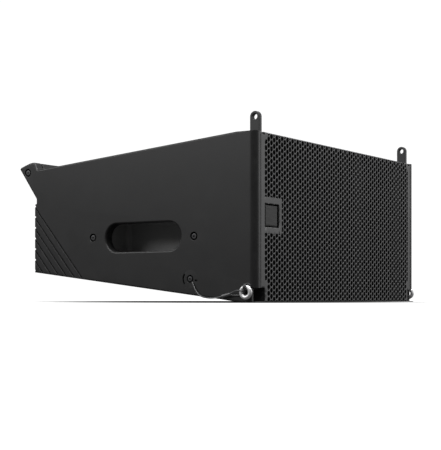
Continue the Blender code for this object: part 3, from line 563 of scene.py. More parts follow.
# Skins as (colour, roughness, metallic, grain, height, mottle, wear)
SKINS = {
    "moulded_black": ((0.27, 0.27, 0.27), 0.60, 0.0, 1300.0, 0.00004, 0.05),
    "cast_basket": ((0.11, 0.11, 0.115), 0.45, 0.8, 400.0, 0.00008),
    "surround_rubber": ((0.014, 0.014, 0.014), 0.62, 0.0, 900.0, 0.00003),
    "magnet_steel": ((0.055, 0.055, 0.06), 0.52, 0.3, 260.0, 0.00012, 0.2),
    "capacitor_film": ((0.40, 0.33, 0.07), 0.36, 0.0, 200.0, 0.00005),
    "rigging_steel": ((0.024, 0.024, 0.025), 0.55, 0.0, 1000.0, 0.00002, 0.1, 0.4),
    "screw_steel": ((0.060, 0.060, 0.062), 0.40, 0.4, 800.0, 0.00002, 0.14, 0.5),
    "socket_plastic": ((0.028, 0.036, 0.060), 0.40, 0.0, 1400.0, 0.00003),
    "coated_wire": ((0.11, 0.11, 0.112), 0.34, 0.1, 900.0, 0.00002),
}

# Each record slot's material, made once
FINISHES = {
    "painted_ply": cabinet_paint(), "grille_paint": grille_paint(), "acoustic_foam": foam_material(),
    "badge": badge_finish(), "cone_paper": paper_cone(), "circuit_board": circuit_board(),
    "copper_winding": copper_winding(), "chrome_pin": chrome(),
    **{slot: coated(slot, *look).material for slot, look in SKINS.items()},
}


def dress(item, slot, body, *nodes, finish=None):
    """Gives a piece its material and its body, and hides the CAD nodes that it stands for."""
    item.data.materials.clear()
    item.data.materials.append(FINISHES[finish or slot])
    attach(item, body)
    if nodes:
        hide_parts(*nodes)
    return item


# ---------------------------------------------------------------- camera, stage and lights

def camera():
    """A long lens just above the floor, with the vertical shift that keeps uprights parallel."""
    data = bpy.data.cameras.new("photo_camera")
    data.lens = 97.34
    data.sensor_width = 36.0
    data.shift_y = 0.1624
    data.clip_start = 0.005
    item = bpy.data.objects.new("photo_camera", data)
    item.location = (-1.7759, -1.1469, 0.0065)
    item.rotation_euler = (math.radians(90), 0, math.radians(-56.86))
    bpy.context.scene.collection.objects.link(item)
    bpy.context.scene.camera = item


def floor():
    """A pale floor with a long soft painted shadow in its colour, which doesn't light the box from below."""
    bm = bmesh.new()
    bmesh.ops.create_grid(bm, x_segments=24, y_segments=24, size=30000.0)
    item = mesh_object("pale_floor", bm)
    made = Nodes("pale_floor", (0.86, 0.86, 0.86), 0.9, 0.0)
    shade = made.mixed(made.noise(0.8), (0.84, 0.84, 0.84), (0.88, 0.88, 0.88))
    # Painted shadow: an ellipse round the box where the floor's colour darkens to 0.10 grey, fading to pale
    # further out.
    painted_shadow_mapping = made.add("ShaderNodeMapping", {
        "Location": (0.08, 0.07, 0.0), "Rotation": (0.0, 0.0, math.radians(41.8)),
        "Scale": (0.78, 0.36, 1.0)}, vector_type="TEXTURE")
    made.join(made.place, painted_shadow_mapping.inputs["Vector"])
    reach = made.add("ShaderNodeVectorMath", operation="LENGTH")
    made.join(painted_shadow_mapping.outputs["Vector"], reach.inputs[0])
    painted_shadow_fade = made.add(
        "ShaderNodeMapRange", {"From Min": 0.50, "From Max": 1.15}, interpolation_type="SMOOTHSTEP")
    made.join(reach.outputs["Value"], painted_shadow_fade.inputs["Value"])
    made.paint(made.mixed(painted_shadow_fade.outputs["Result"], (0.10, 0.10, 0.10), shade))
    made.shader.inputs["Specular IOR Level"].default_value = 0.0
    item.data.materials.append(made.material)
    item.visible_diffuse = False
    item.visible_glossy = False


def area_light(name, place, target, size, power):
    data = bpy.data.lights.new(name, "AREA")
    data.shape = "RECTANGLE"
    data.size = size[0]
    data.size_y = size[1]
    data.energy = power
    item = bpy.data.objects.new(name, data)
    item.location = place
    item.rotation_euler = (Vector(target) - Vector(place)).to_track_quat("-Z", "Y").to_euler()
    bpy.context.scene.collection.objects.link(item)


def lights():
    """Large soft boxes at the far left, the right front and above, round a dim white room."""
    world_data = bpy.data.worlds.new("white_room")
    bpy.context.scene.world = world_data
    world_data.use_nodes = True
    tree = world_data.node_tree
    background = tree.nodes["Background"]
    seen = tree.nodes.new("ShaderNodeLightPath")
    strength = tree.nodes.new("ShaderNodeMapRange")
    strength.inputs["To Min"].default_value = 0.10
    strength.inputs["To Max"].default_value = 1.05
    tree.links.new(seen.outputs["Is Camera Ray"], strength.inputs["Value"])
    tree.links.new(strength.outputs["Result"], background.inputs["Strength"])
    background.inputs["Color"].default_value = (1, 1, 1, 1)
    middle = (0.0, 0.0, 0.12)
    area_light("left_softbox", (-2.6, 1.9, 1.9), middle, (2.4, 1.6), 66.0)
    area_light("right_softbox", (2.4, -1.9, 0.9), middle, (2.2, 1.8), 20.0)
    area_light("top_softbox", (-0.2, -0.9, 3.0), middle, (3.0, 2.4), 160.0)
    bpy.context.scene.view_settings.view_transform = "Standard"
    floor_sun()


def floor_sun():
    """A soft light from above for the floor alone, which the other lights leave out."""
    sun = bpy.data.lights.new("floor_sun", "SUN")
    sun.energy = 4.6
    sun.angle = math.radians(60)
    item = bpy.data.objects.new("floor_sun", sun)
    item.rotation_euler = Vector((0.20, 0.15, -1.0)).to_track_quat("-Z", "Y").to_euler()
    bpy.context.scene.collection.objects.link(item)
    only = bpy.data.collections.new("floor_only")
    only.objects.link(bpy.data.objects["pale_floor"])
    item.light_linking.receiver_collection = only
    without = bpy.data.collections.new("all_but_floor")
    without.objects.link(bpy.data.objects["pale_floor"])
    without.collection_objects[0].light_linking.link_state = "EXCLUDE"
    for lamp in bpy.context.scene.objects:
        if lamp.type == "LIGHT" and lamp != item:
            lamp.light_linking.receiver_collection = without


# ---------------------------------------------------------------- lanyards

def lanyard(side, tag):
    """Wire rope from the anchor to a ferrule, and its eye round the pull ring."""
    route = [outside(side, inset, depth, z) for depth, z, inset in LANYARD_ROUTE]
    points = smooth_route(route, 1.0)
    rope = swept(f"wire_lanyard_{tag}", points, WIRE_RADIUS, 18, 6, 0.22, 14.0)
    rope.data.shade_smooth()

    loop_route = [outside(side, inset, depth, z) for depth, z, inset in EYE_ROUTE]
    loop = swept(f"wire_eye_{tag}", smooth_route(loop_route, 0.9), 0.9, 18, 6, 0.2, 12.0)
    first, last = [outside(side, inset, depth, z) for depth, z, inset in FERRULE]
    reach = (last - first).length
    crimp = [(0.0, 0.0), (FERRULE_RADIUS - 0.5, 0.0), (FERRULE_RADIUS - 0.1, 0.2), (FERRULE_RADIUS, 0.7)]
    crimp += [(FERRULE_RADIUS, reach - 0.7), (FERRULE_RADIUS - 0.1, reach - 0.2)]
    crimp += [(FERRULE_RADIUS - 0.5, reach), (0.0, reach)]
    sleeve = turned(f"ferrule_{tag}", crimp, first, last - first)
    eye = carve(loop, sleeve, operation="UNION")
    soften(eye, 50.0)

    for piece in (rope, eye):
        piece.data.materials.clear()
        piece.data.materials.append(FINISHES["coated_wire"])
    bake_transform(rope)
    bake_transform(eye)
    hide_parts(f"lanyard_{tag}")
    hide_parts(f"lanyard_eye_{tag}")


# ---------------------------------------------------------------- cabinet

def side_outline():
    """Outline of a side panel: notched foot, flat and sloping top, horn and rear edge."""
    outline = [(7.0, 0.0), (7.0, RECEIVER_TOP), (0.0, RECEIVER_TOP), (0.0, HEIGHT), (FLAT_TOP, HEIGHT)]
    outline.append((415.7, top_line(415.7)))
    outline += [
        (418.2, 217.2), (419.9, 219.3), (421.4, 222.4), (423.5, 226.3), (425.3, 228.3), (429.0, 228.4),
        (435.0, 227.5), (444.6, 224.6), (454.0, 221.2), (456.0, 218.4),
    ]
    outline += [(REAR_FACE, 168.4), (REAR_FACE, 161.0), (RIB_CREST, 159.2)]
    outline += [(RIB_CREST, bottom_line(RIB_CREST)), (FLAT_BOTTOM, 0.0)]
    return outline


def handle_outline():
    """A stadium, as (depth, z)."""
    half = HANDLE_SIZE[1] / 2
    straight = HANDLE_SIZE[0] / 2 - half
    depth, z = HANDLE_AT
    return arc((depth + straight, z), half, -90, 90, 24) + arc((depth - straight, z), half, 90, 270, 24)


def groove_cutter(side):
    """V-shaped bars that cut the diagonal grooves."""
    bm = bmesh.new()
    along = Vector((0, -math.cos(GROOVE_ANGLE), -math.sin(GROOVE_ANGLE)))
    across = Vector((0, -math.sin(GROOVE_ANGLE), math.cos(GROOVE_ANGLE)))
    outward = Vector((side, 0, 0))
    for index in range(GROOVE_COUNT + 1):
        height = GROOVE_TOP - index * GROOVE_PITCH
        start = outside(side, 0.0, RIB_CREST, height) - along * 8
        reach = (height - 25.0) / math.sin(GROOVE_ANGLE) * 1.08 + 16
        basis = Matrix((across, along, outward)).transposed().to_4x4()
        place = Matrix.Translation(start + along * reach / 2) @ basis
        for vert in bmesh.ops.create_cube(bm, size=1.0)["verts"]:
            half = 2.5 if vert.co.z > 0 else 0.7
            drop = 1.0 if vert.co.z > 0 else -GROOVE_DEPTH
            vert.co = place @ Vector((math.copysign(half, vert.co.x), vert.co.y * reach, drop))
    bmesh.ops.recalc_face_normals(bm, faces=bm.faces)
    return mesh_object("grooves", bm)


def notch_cutter(side):
    """Small wedges across the rear edge, one at the end of each groove."""
    bm = bmesh.new()
    for index in range(GROOVE_COUNT):
        height = GROOVE_TOP - index * GROOVE_PITCH
        for vert in bmesh.ops.create_cube(bm, size=1.0)["verts"]:
            rear = vert.co.y > 0
            half = 2.4 if rear else 0.3
            depth = RIB_CREST + 1.5 if rear else RIB_CREST - 3.4
            x = side * (HALF - SIDE_PLY / 2 + vert.co.x * (SIDE_PLY + 8))
            vert.co = world(x, depth, height + math.copysign(half, vert.co.z))
    bmesh.ops.recalc_face_normals(bm, faces=bm.faces)
    return mesh_object("notches", bm)


def front_edge_cutter(side):
    """What is taken off the outer front edge to leave a quarter round."""
    block = blocks("edge_block", [(
        outside(side, -2.0, -2.0, -5.0), outside(side, EDGE_RADIUS, EDGE_RADIUS, HEIGHT + 5.0))])
    centre = outside(side, EDGE_RADIUS, EDGE_RADIUS, 0.0)
    ends = (centre - Vector((0, 0, 20)), centre + Vector((0, 0, HEIGHT + 20)), EDGE_RADIUS)
    return carve(block, rods("edge_round", [ends], 96))


def recess_cutter(side, depth, z, radius=SCREW_RECESS, eased=True):
    """A round recess with a bore below it, and an eased rim unless a plate fills it."""
    drop, hole = RECESS_DROP, 2.5
    outline = [(0.0, 3.0), (radius, 3.0)]
    if eased:
        outline = [(0.0, 3.0), (radius + 3.6, 3.0), (radius + 0.6, 0.0), (radius + 0.15, -0.35)]
        outline.append((radius, -0.9))
    outline += [(radius, -drop + 0.5), (radius - 0.5, -drop), (hole, -drop)]
    outline += [(hole, -SIDE_PLY - 3), (0.0, -SIDE_PLY - 3)]
    return turned("recess", outline, outside(side, 0.0, depth, z), (side, 0, 0))


def side_panel(side, tag):
    x0, x1 = sorted((side * HALF, side * (HALF - SIDE_PLY)))
    panel = plate(f"cabinet_side_{tag}", [side_outline(), handle_outline()], x0, x1, SIDE_RIM, "X", 4)
    cutters = [
        blocks("foot_pocket", [
            (outside(side, FOOT_SKIN, -5, -5), outside(side, SIDE_PLY + 5, FOOT_DEPTH, RECEIVER_TOP))]),
        blocks("rebate", [(outside(side, 13.5, -2, -3), outside(side, SIDE_PLY + 2, 8.6, HEIGHT + 3))]),
        front_edge_cutter(side), groove_cutter(side), notch_cutter(side),
        recess_cutter(side, *ANCHOR, ANCHOR_RADIUS, eased=False),
        rods("pin_bore", [(outside(side, -3, *PIN_AT), outside(side, 22, *PIN_AT), PIN_BORE)]),
    ]
    cutters += [recess_cutter(side, *place) for place in (*HANDLE_SCREWS.values(), BEAM_SCREW)]
    panel = carve(panel, *cutters)
    soften(panel)
    dress(panel, "painted_ply", "root", f"side_panel_{tag}")


def cabinet_panels():
    half = HALF - SIDE_PLY - GAP
    inner = HALF - CHANNEL_INSET - GAP
    start = GRILLE_RETURN + GAP
    end = 404.9
    top = [(start, HEIGHT), (FLAT_TOP, HEIGHT), (end, top_line(end))]
    top += [(end, top_line(end) - PLY), (FLAT_TOP, HEIGHT - PLY), (start, HEIGHT - PLY)]
    bottom = [(start, 0.0), (start, PLY), (FLAT_BOTTOM, PLY)]
    bottom += [(end, bottom_line(end) + PLY), (end, bottom_line(end)), (FLAT_BOTTOM, 0.0)]
    for name, outline in (("top", top), ("bottom", bottom)):
        panel = plate(f"cabinet_{name}", [outline], -half, half, 0.8, "X", 2)
        corners = []
        for side, tag in SIDES:
            corners.append((world(side * inner, -5, -5), world(side * (half + 5), 25.2, HEIGHT + 5)))
        panel = soften(carve(panel, blocks("corners", corners)))
        dress(panel, "painted_ply", "root", f"{name}_panel")
    outline = [(405.2, bottom_line(405.2)), (405.2, top_line(405.2)), (REAR_FACE, top_line(REAR_FACE))]
    outline.append((REAR_FACE, bottom_line(REAR_FACE)))
    rear = plate("cabinet_back", [outline], -half, half, 0.8, "X", 2)
    window = blocks("window", [(
        world(PLATE_X - PLATE_HALF[0] + 8, 400, PLATE_Z - PLATE_HALF[1] + 8),
        world(PLATE_X + PLATE_HALF[0] - 8, 425, PLATE_Z + PLATE_HALF[1] - 8))])
    rear = soften(carve(rear, window))
    dress(rear, "painted_ply", "root", "rear_panel")


def rear_beam():
    half = HALF - SIDE_PLY - GAP
    outline = [
        (420.6, 169.2), (420.6, 216.4), (416.2, 216.8), (419.6, 219.2), (421.4, 222.4), (423.5, 226.1),
        (425.3, 228.0), (429.0, 228.1), (435.0, 227.3), (444.6, 224.4), (453.4, 221.2), (455.6, 219.4),
        (455.6, 217.6),
    ]
    beam = plate("cabinet_rear_beam", [outline], -half, half, 0.7, "X", 2)
    slot = blocks("slot", [(world(-SLOT_HALF_WIDTH, SLOT_FRONT, 150), world(SLOT_HALF_WIDTH, 470, 240))])
    dress(soften(carve(beam, slot)), "painted_ply", "root", "rear_beam")


def handle_liner(side, tag):
    """A moulded pocket with rounded corners, open towards the side panel."""
    d0, d1, z0, z1, inset, wall = 130.0, 278.0, 70.0, 130.0, 62.0, 2.2
    bm = bmesh.new()
    low = outside(side, SIDE_PLY + GAP, d0, z0)
    high = outside(side, inset, d1, z1)
    middle = (low + high) / 2
    size = Vector([abs(value) for value in high - low])
    bmesh.ops.create_cube(bm, size=1.0, matrix=Matrix.Translation(middle) @ Matrix.Diagonal((*size, 1.0)))
    mouth = [face for face in bm.faces if face.normal.x * side > 0.5]
    bmesh.ops.delete(bm, geom=mouth, context="FACES_ONLY")
    rims = [edge for edge in bm.edges if len(edge.link_faces) == 1]
    bmesh.ops.bevel(bm, geom=[edge for edge in bm.edges if edge not in rims], offset=9.0, segments=6,
                    affect="EDGES", profile=0.5)
    liner = mesh_object(f"handle_liner_{tag}", bm)
    solid = liner.modifiers.new("wall", "SOLIDIFY")
    solid.thickness = wall * MM
    solid.offset = 1.0
    liner = bake(liner)
    dress(soften(liner, 45), "moulded_black", "root", f"handle_cup_{tag}")


def cap_screw(name, place, axis, head, height, node):
    """A socket screw's rounded head and the start of its thread. place is on the head's face."""
    key = head * 0.4
    outline = [(0.0, 0.0), (head - 0.5, 0.0), (head - 0.15, -0.15), (head, -0.5), (head, -height)]
    outline += [(2.1, -height), (2.1, -height - 6.0), (0.0, -height - 6.0)]
    screw = turned(name, outline, place, axis)
    way = Vector(axis)
    deep = height + 3.0
    screw = carve(screw, rods("socket", [(place - way * deep, place + way * 2.0, key)], 6))
    dress(soften(screw), "screw_steel", "root", node)


def side_fixings(side, tag):
    axis = (side, 0, 0)
    for place, spot in HANDLE_SCREWS.items():
        cap_screw(f"handle_bolt_{tag}_{place}", outside(side, 0.3, *spot), axis, 4.1, 2.4,
                  f"handle_screw_{tag}_{place}")
    cap_screw(f"beam_bolt_{tag}", outside(side, 0.3, *BEAM_SCREW), axis, 4.1, 2.4, f"beam_screw_{tag}")
    washer = [(5.8, -1.8), (5.8, -0.3), (6.1, 0.0), (ANCHOR_RADIUS + 0.05, 0.0), (ANCHOR_RADIUS + 0.05, -1.8)]
    disc = turned(f"anchor_plate_{tag}", washer, outside(side, 0.1, *ANCHOR), axis, closed=True, sides=96)
    disc = carve(disc, *anchor_slots(side))
    dress(soften(disc), "rigging_steel", "root", f"lanyard_anchor_{tag}", finish="painted_ply")
    cap_screw(f"anchor_bolt_{tag}", outside(side, -0.2, *ANCHOR), axis, 3.7, 2.0, f"lanyard_screw_{tag}")


def anchor_slots(side):
    """The curved slot behind the anchor screw and the small slot that the wire comes from."""
    depth, z = ANCHOR
    near, far, first, last = ANCHOR_SLOT
    rows = arc((0.0, 0.0), far, first, last, 12)
    inner = arc((0.0, 0.0), near, first, last, 12)
    bm = bmesh.new()
    walls = []
    for inset in (-2.0, 4.0):
        ring = [outside(side, inset, depth - across, z + up) for across, up in rows + inner[::-1]]
        walls.append([bm.verts.new(point) for point in ring])
    count = len(walls[0])
    for index in range(count):
        following = (index + 1) % count
        bm.faces.new((walls[0][index], walls[0][following], walls[1][following], walls[1][index]))
    for wall in walls:
        half = count // 2
        for index in range(half - 1):
            bm.faces.new((wall[index], wall[index + 1], wall[count - 2 - index], wall[count - 1 - index]))
    bmesh.ops.recalc_face_normals(bm, faces=bm.faces)
    wire_slot = blocks("wire_slot", [
        (outside(side, -2.0, depth - 13.4, z - 3.6), outside(side, 4.0, depth - 8.6, z - 1.0))])
    return [mesh_object("arc_slot", bm), wire_slot]


# ---------------------------------------------------------------- grille

def fold(across, up):
    """Where a point of the flat sheet lies once its edges are bent back."""
    result = []
    depth = 0.0
    spans = ((across, -GRILLE_HALF, GRILLE_HALF), (up, 0.0, HEIGHT))
    for value, low, high in spans:
        for edge, way in ((low, -1), (high, 1)):
            past = (value - edge) * way + GRILLE_BEND
            if past > 0:
                quarter = GRILLE_BEND * math.pi / 2
                turn = min(past / GRILLE_BEND, math.pi / 2)
                value = edge - way * GRILLE_BEND + way * GRILLE_BEND * math.sin(turn)
                depth += GRILLE_BEND * (1 - math.cos(turn)) + max(0.0, past - quarter)
                break
        result.append(value)
    return world(result[0], depth, result[1])


def hexagon_cells(bm, low, high):
    """Tiles a flat sheet with hexagons that each hold a round hole, whose face has index 1."""
    column = HOLE_PITCH * math.sqrt(3) / 2
    first = -HALF + FIRST_HOLE[0]
    reach = HOLE_PITCH / math.sqrt(3)
    count = int((high[0] - low[0]) / column) + 2
    start = math.floor((low[0] - first) / column)
    for index in range(start, start + count + 1):
        across = first + index * column
        offset = FIRST_HOLE[1] - (HOLE_PITCH / 2 if index % 2 else 0.0)
        row = math.floor((low[1] - offset) / HOLE_PITCH)
        while offset + row * HOLE_PITCH < high[1] + HOLE_PITCH:
            up = offset + row * HOLE_PITCH
            inner = []
            outer = []
            for step in range(12):
                turn = math.radians(30 * step)
                edge = reach if step % 2 == 0 else HOLE_PITCH / 2
                for ring, radius in ((inner, HOLE_RADIUS), (outer, edge)):
                    ring.append(bm.verts.new((
                        across + radius * math.cos(turn), up + radius * math.sin(turn), 0)))
            for step in range(12):
                following = (step + 1) % 12
                bm.faces.new((inner[step], outer[step], outer[following], inner[following]))
            bm.faces.new(inner).material_index = 1
            row += 1
    bmesh.ops.remove_doubles(bm, verts=bm.verts, dist=0.01)


def split(bm, point, normal, keep=lambda centre: True):
    """Cuts the faces that a test picks along a line in the flat sheet."""
    faces = [face for face in bm.faces if keep(face.calc_center_median())]
    edges = list({edge for face in faces for edge in face.edges})
    verts = list({vert for face in faces for vert in face.verts})
    bmesh.ops.bisect_plane(bm, geom=verts + edges + faces, dist=0.0005, plane_co=point, plane_no=normal)


def remove_where(bm, test):
    doomed = [face for face in bm.faces if test(face, face.calc_center_median())]
    bmesh.ops.delete(bm, geom=doomed, context="FACES")


def perforated_grille():
    """A perforated sheet, laid out flat with its plain margins and cut-outs, then bent and thickened."""
    quarter = GRILLE_BEND * math.pi / 2
    reach = GRILLE_HALF - GRILLE_BEND + quarter + 8.0 - GRILLE_BEND
    rise = HEIGHT - GRILLE_BEND + quarter + GRILLE_RETURN - GRILLE_BEND
    drop = -(rise - HEIGHT)
    field = (HALF - 25.6, 1.9, HEIGHT + 5.2)
    badge = (-HALF + BADGE_INSET, BADGE_Z)
    plain = (badge[0] + 29.0, badge[1] - 26.5, badge[1] + 27.0)
    window = (20.5, 17.2)
    link_notch = (HALF - 26.2, HALF - 17.6, HEIGHT - 4.5)
    foot_notch = (HALF - 26.4, RECEIVER_TOP)

    bm = bmesh.new()
    hexagon_cells(bm, (-reach - 4, drop - 4), (reach + 4, rise + 4))
    ups = [drop, rise, 0.0, HEIGHT, field[1], field[2]]
    acrosses = []
    for way in (-1, 1):
        acrosses += [way * reach, way * GRILLE_HALF, way * field[0]]
        for step in range(5):
            acrosses.append(way * (GRILLE_HALF - GRILLE_BEND + quarter * step / 4))
    for step in range(5):
        ups += [HEIGHT - GRILLE_BEND + quarter * step / 4, GRILLE_BEND - quarter * step / 4]
    for across in acrosses:
        split(bm, (across, 0, 0), (1, 0, 0), lambda centre: abs(centre.x - across) < 9)
    for up in ups:
        split(bm, (0, up, 0), (0, 1, 0), lambda centre: abs(centre.y - up) < 9)
    remove_where(bm, lambda face, centre: abs(centre.x) > reach or not drop < centre.y < rise)

    near_badge = lambda centre: centre.x < plain[0] + 9 and plain[1] - 9 < centre.y < plain[2] + 9
    split(bm, (plain[0], 0, 0), (1, 0, 0), near_badge)
    for up in (plain[1], plain[2], badge[1] - window[1], badge[1] + window[1]):
        split(bm, (0, up, 0), (0, 1, 0), near_badge)
    for across in (badge[0] - window[0], badge[0] + window[0]):
        split(bm, (across, 0, 0), (1, 0, 0), near_badge)
    for way in (-1, 1):
        outer = lambda centre: way * centre.x > field[0] - 22
        for across in (link_notch[0], link_notch[1], foot_notch[0]):
            split(bm, (way * across, 0, 0), (1, 0, 0), outer)
        for up in (link_notch[2], foot_notch[1]):
            split(bm, (0, up, 0), (0, 1, 0), outer)
        split(bm, (way * (field[0] + 0.6), HEIGHT - 16.5, 0), (way * 16.5, 12.8, 0), outer)

    def corner(centre):
        """The plain triangles at the top corners and the plain margins beside the feet."""
        out = abs(centre.x) - field[0]
        over = (out - 0.6) * 16.5 + (centre.y - HEIGHT + 16.5) * 12.8 > 0
        return over or (centre.y < 36.0 and out > -4.0) or (centre.y < 27.0 and out > -8.5)

    def is_hole(face, centre):
        if face.material_index != 1:
            return False
        inside = abs(centre.x) < field[0] and field[1] < centre.y < field[2]
        covered = centre.x < plain[0] and plain[1] < centre.y < plain[2]
        return inside and not covered and not corner(centre)

    def is_cut_out(face, centre):
        out = abs(centre.x)
        at_badge = abs(centre.x - badge[0]) < window[0] and abs(centre.y - badge[1]) < window[1]
        at_link = link_notch[0] < out < link_notch[1] and centre.y > link_notch[2]
        at_foot = out > foot_notch[0] and centre.y < foot_notch[1]
        at_fold = out > GRILLE_HALF - 1 and centre.y > HEIGHT - 1
        return at_badge or at_link or at_foot or at_fold

    remove_where(bm, is_hole)
    remove_where(bm, is_cut_out)
    bmesh.ops.dissolve_degenerate(bm, dist=0.002, edges=bm.edges)
    for face in bm.faces:
        face.material_index = 0
    for vert in bm.verts:
        vert.co = fold(vert.co.x, vert.co.y)
    bmesh.ops.recalc_face_normals(bm, faces=bm.faces)
    if sum(face.normal.y for face in bm.faces) > 0:
        bmesh.ops.reverse_faces(bm, faces=bm.faces)
    sheet = mesh_object("perforated_grille", bm)
    solid = sheet.modifiers.new("sheet", "SOLIDIFY")
    solid.thickness = GRILLE_SHEET * MM
    solid.offset = -1.0
    sheet.data.shade_smooth()
    sheet.data.set_sharp_from_angle(angle=math.radians(35))
    dress(sheet, "grille_paint", "root", "grille")


def badge_plate():
    """A blank plate with an eased raised border, sunk in its window."""
    middle = (-HALF + BADGE_INSET, BADGE_Z)
    base = plate("blank_badge", [rounded_rectangle(middle, BADGE_HALF, 1.5)], 1.4, 3.4, 0.4, "Y", 2)
    raised = plate("badge_face", [rounded_rectangle(middle, BADGE_FACE_HALF, 1.2)], 0.9, 3.0, 0.4, "Y", 2)
    badge = carve(base, raised, operation="UNION")
    dress(soften(badge), "badge", "root", "badge_plate")


def foam_sheet():
    """The foam behind the grille, with a softly uneven face."""
    low, high = box_mm("grille_foam")
    bm = bmesh.new()
    bmesh.ops.create_cube(bm, size=1.0, matrix=Matrix.Translation((low + high) / 2)
                          @ Matrix.Diagonal((*(high - low), 1.0)))
    bmesh.ops.bevel(bm, geom=bm.edges[:], offset=1.2, segments=2, affect="EDGES", profile=0.5)
    bmesh.ops.subdivide_edges(bm, edges=[edge for edge in bm.edges if edge.calc_length() > 40], cuts=24,
                              use_grid_fill=True)
    for vert in bm.verts:
        if vert.co.y < low.y + 0.1:
            vert.co.y += 0.25 * (1 + math.sin(vert.co.x * 0.21) * math.cos(vert.co.z * 0.17))
    foam = mesh_object("foam_sheet", bm)
    badge = outside(-1, BADGE_INSET, 0, BADGE_Z)
    pocket = blocks("pocket", [(badge - Vector((20.4, 5, 17.4)), badge + Vector((20.4, 4.0, 17.4)))])
    foam = soften(carve(foam, pocket))
    dress(foam, "acoustic_foam", "root", "grille_foam")


# ---------------------------------------------------------------- rigging

def rigging_channel(side, tag):
    """A folded steel channel that holds the link, with its foot plate."""
    w0, w1, d0, d1, sheet = 18.3, CHANNEL_INSET, 1.8, 24.9, 2.7
    x = [side * (HALF - inset) for inset in (w0, w1, w1 - sheet)]
    outline = [
        (x[0], d0), (x[1], d0), (x[1], d1), (x[0], d1), (x[0], d1 - sheet), (x[2], d1 - sheet),
        (x[2], d0 + sheet), (x[0], d0 + sheet),
    ]
    channel = plate(f"rigging_channel_{tag}", [outline], 0.2, HEIGHT - 1.8, 0.4, "Z", 2)
    mouth = blocks("mouth", [(
        outside(side, 10.0, -5.0, 1.6), outside(side, w1 - sheet, d0 + sheet + 0.5, RECEIVER_TOP))])
    relief = outside(side, BADGE_INSET, 0, BADGE_Z)
    relief_box = blocks("relief", [(
        relief + Vector((-21.5, -5, -18.5)), relief + Vector((21.5, d0 + sheet, 18.5)))])
    bore = rods("bore", [(outside(side, 22, *PIN_AT), outside(side, 40, *PIN_AT), PIN_BORE)])
    channel = carve(channel, mouth, relief_box, bore)
    foot = blocks("foot", [(outside(side, 1.0, 0.4, 0.0), outside(side, w1 - 1.0, 6.6, 1.5))], 0.4, 2)
    channel = carve(channel, foot, operation="UNION")
    dress(soften(channel), "rigging_steel", "root", f"rigging_frame_{tag}")


def link_bar(side, tag):
    """A flat link with eased edges: the bar in the channel and the round-ended tab above the box."""
    low, high = box_mm(f"front_link_{tag}")
    depth = PIN_AT[0]
    half = 8.25
    centre = (depth, high.z - half)
    outline = [(depth - half, low.z), (depth + half, low.z)] + arc(centre, half, 0, 180, 28)
    hole = arc(centre, 4.2, 0, 345, 23)
    bar = plate(f"link_bar_{tag}", [outline, hole], low.x + 0.2, high.x - 0.2, 0.9, "X", 3)
    dress(soften(bar), "rigging_steel", f"front_link_{tag}", f"front_link_{tag}")


def quick_pin(name, seat, out, length, body, *nodes):
    """A turned pin with a collar and a rounded blade head that carries the pull ring."""
    way = Vector((out, 0, 0))
    outline = [(0.0, 1.7), (5.6, 1.7), (6.0, 1.5), (6.2, 1.1), (6.2, 0.3), (5.9, 0.0), (4.0, 0.0)]
    outline += [(4.0, -length + 2.0), (3.7, -length + 1.0), (2.8, -length), (0.0, -length)]
    pin = turned(name, outline, seat, way)
    x0, x1 = sorted(((seat + way * 1.0).x, (seat + way * (RING_OUT + RING_EYE + 1.8)).x))
    blade_outline = rounded_rectangle(((x0 + x1) / 2, seat.z), ((x1 - x0) / 2, RING_EYE + 1.0), 4.2)
    depth = seat.y - FRONT
    blade = plate("blade", [blade_outline], depth - 2.0, depth + 2.0, 0.7, "Y", 3)
    pin = carve(pin, blade, operation="UNION")
    eye = seat + way * (RING_OUT - GAP)
    reach = Vector((0, 9, 0))
    pin = carve(pin, rods("eye", [(eye - reach, eye + reach, RING_EYE)]))
    dress(soften(pin), "chrome_pin", body, *nodes, finish="screw_steel")


def pull_ring(name, node, body):
    """A thick round ring, the size of its CAD ring."""
    low, high = box_mm(node)
    wire = (high.x - low.x) / 2
    radius = (high.z - low.z) / 2 - wire
    section = arc((radius, 0.0), wire, 0, 345, 23)
    ring = turned(name, section, (low + high) / 2, (1, 0, 0), closed=True, sides=72)
    ring.data.shade_smooth()
    dress(ring, "chrome_pin", body, node)


def front_rigging(side, tag):
    rigging_channel(side, tag)
    link_bar(side, tag)
    quick_pin(f"quick_pin_{tag}", outside(side, -GAP, *PIN_AT), side, 33.0, f"pin_{tag}", f"pin_{tag}")
    pull_ring(f"pull_ring_{tag}", f"pin_ring_{tag}", f"pin_ring_{tag}")


def folded_cheeks(name, z0, z1, d0, d1, flange):
    """A folded steel fork with a fixing flange across its back."""
    inner, outer, slot = 4.6, 7.6, d0 + 2.4
    outline = [(-outer, d0), (outer, d0), (outer, d1), (inner, d1), (inner, slot), (-inner, slot)]
    outline += [(-inner, d1), (-outer, d1)]
    fork = plate(name, [outline], z0, z1, 0.5, "Z", 2)
    back = plate("flange", [rounded_rectangle((0, (flange[0] + flange[1]) / 2),
                 (22.0, (flange[1] - flange[0]) / 2), 4.0)], d0, slot, 0.5, "Y", 2)
    return carve(fork, back, operation="UNION")


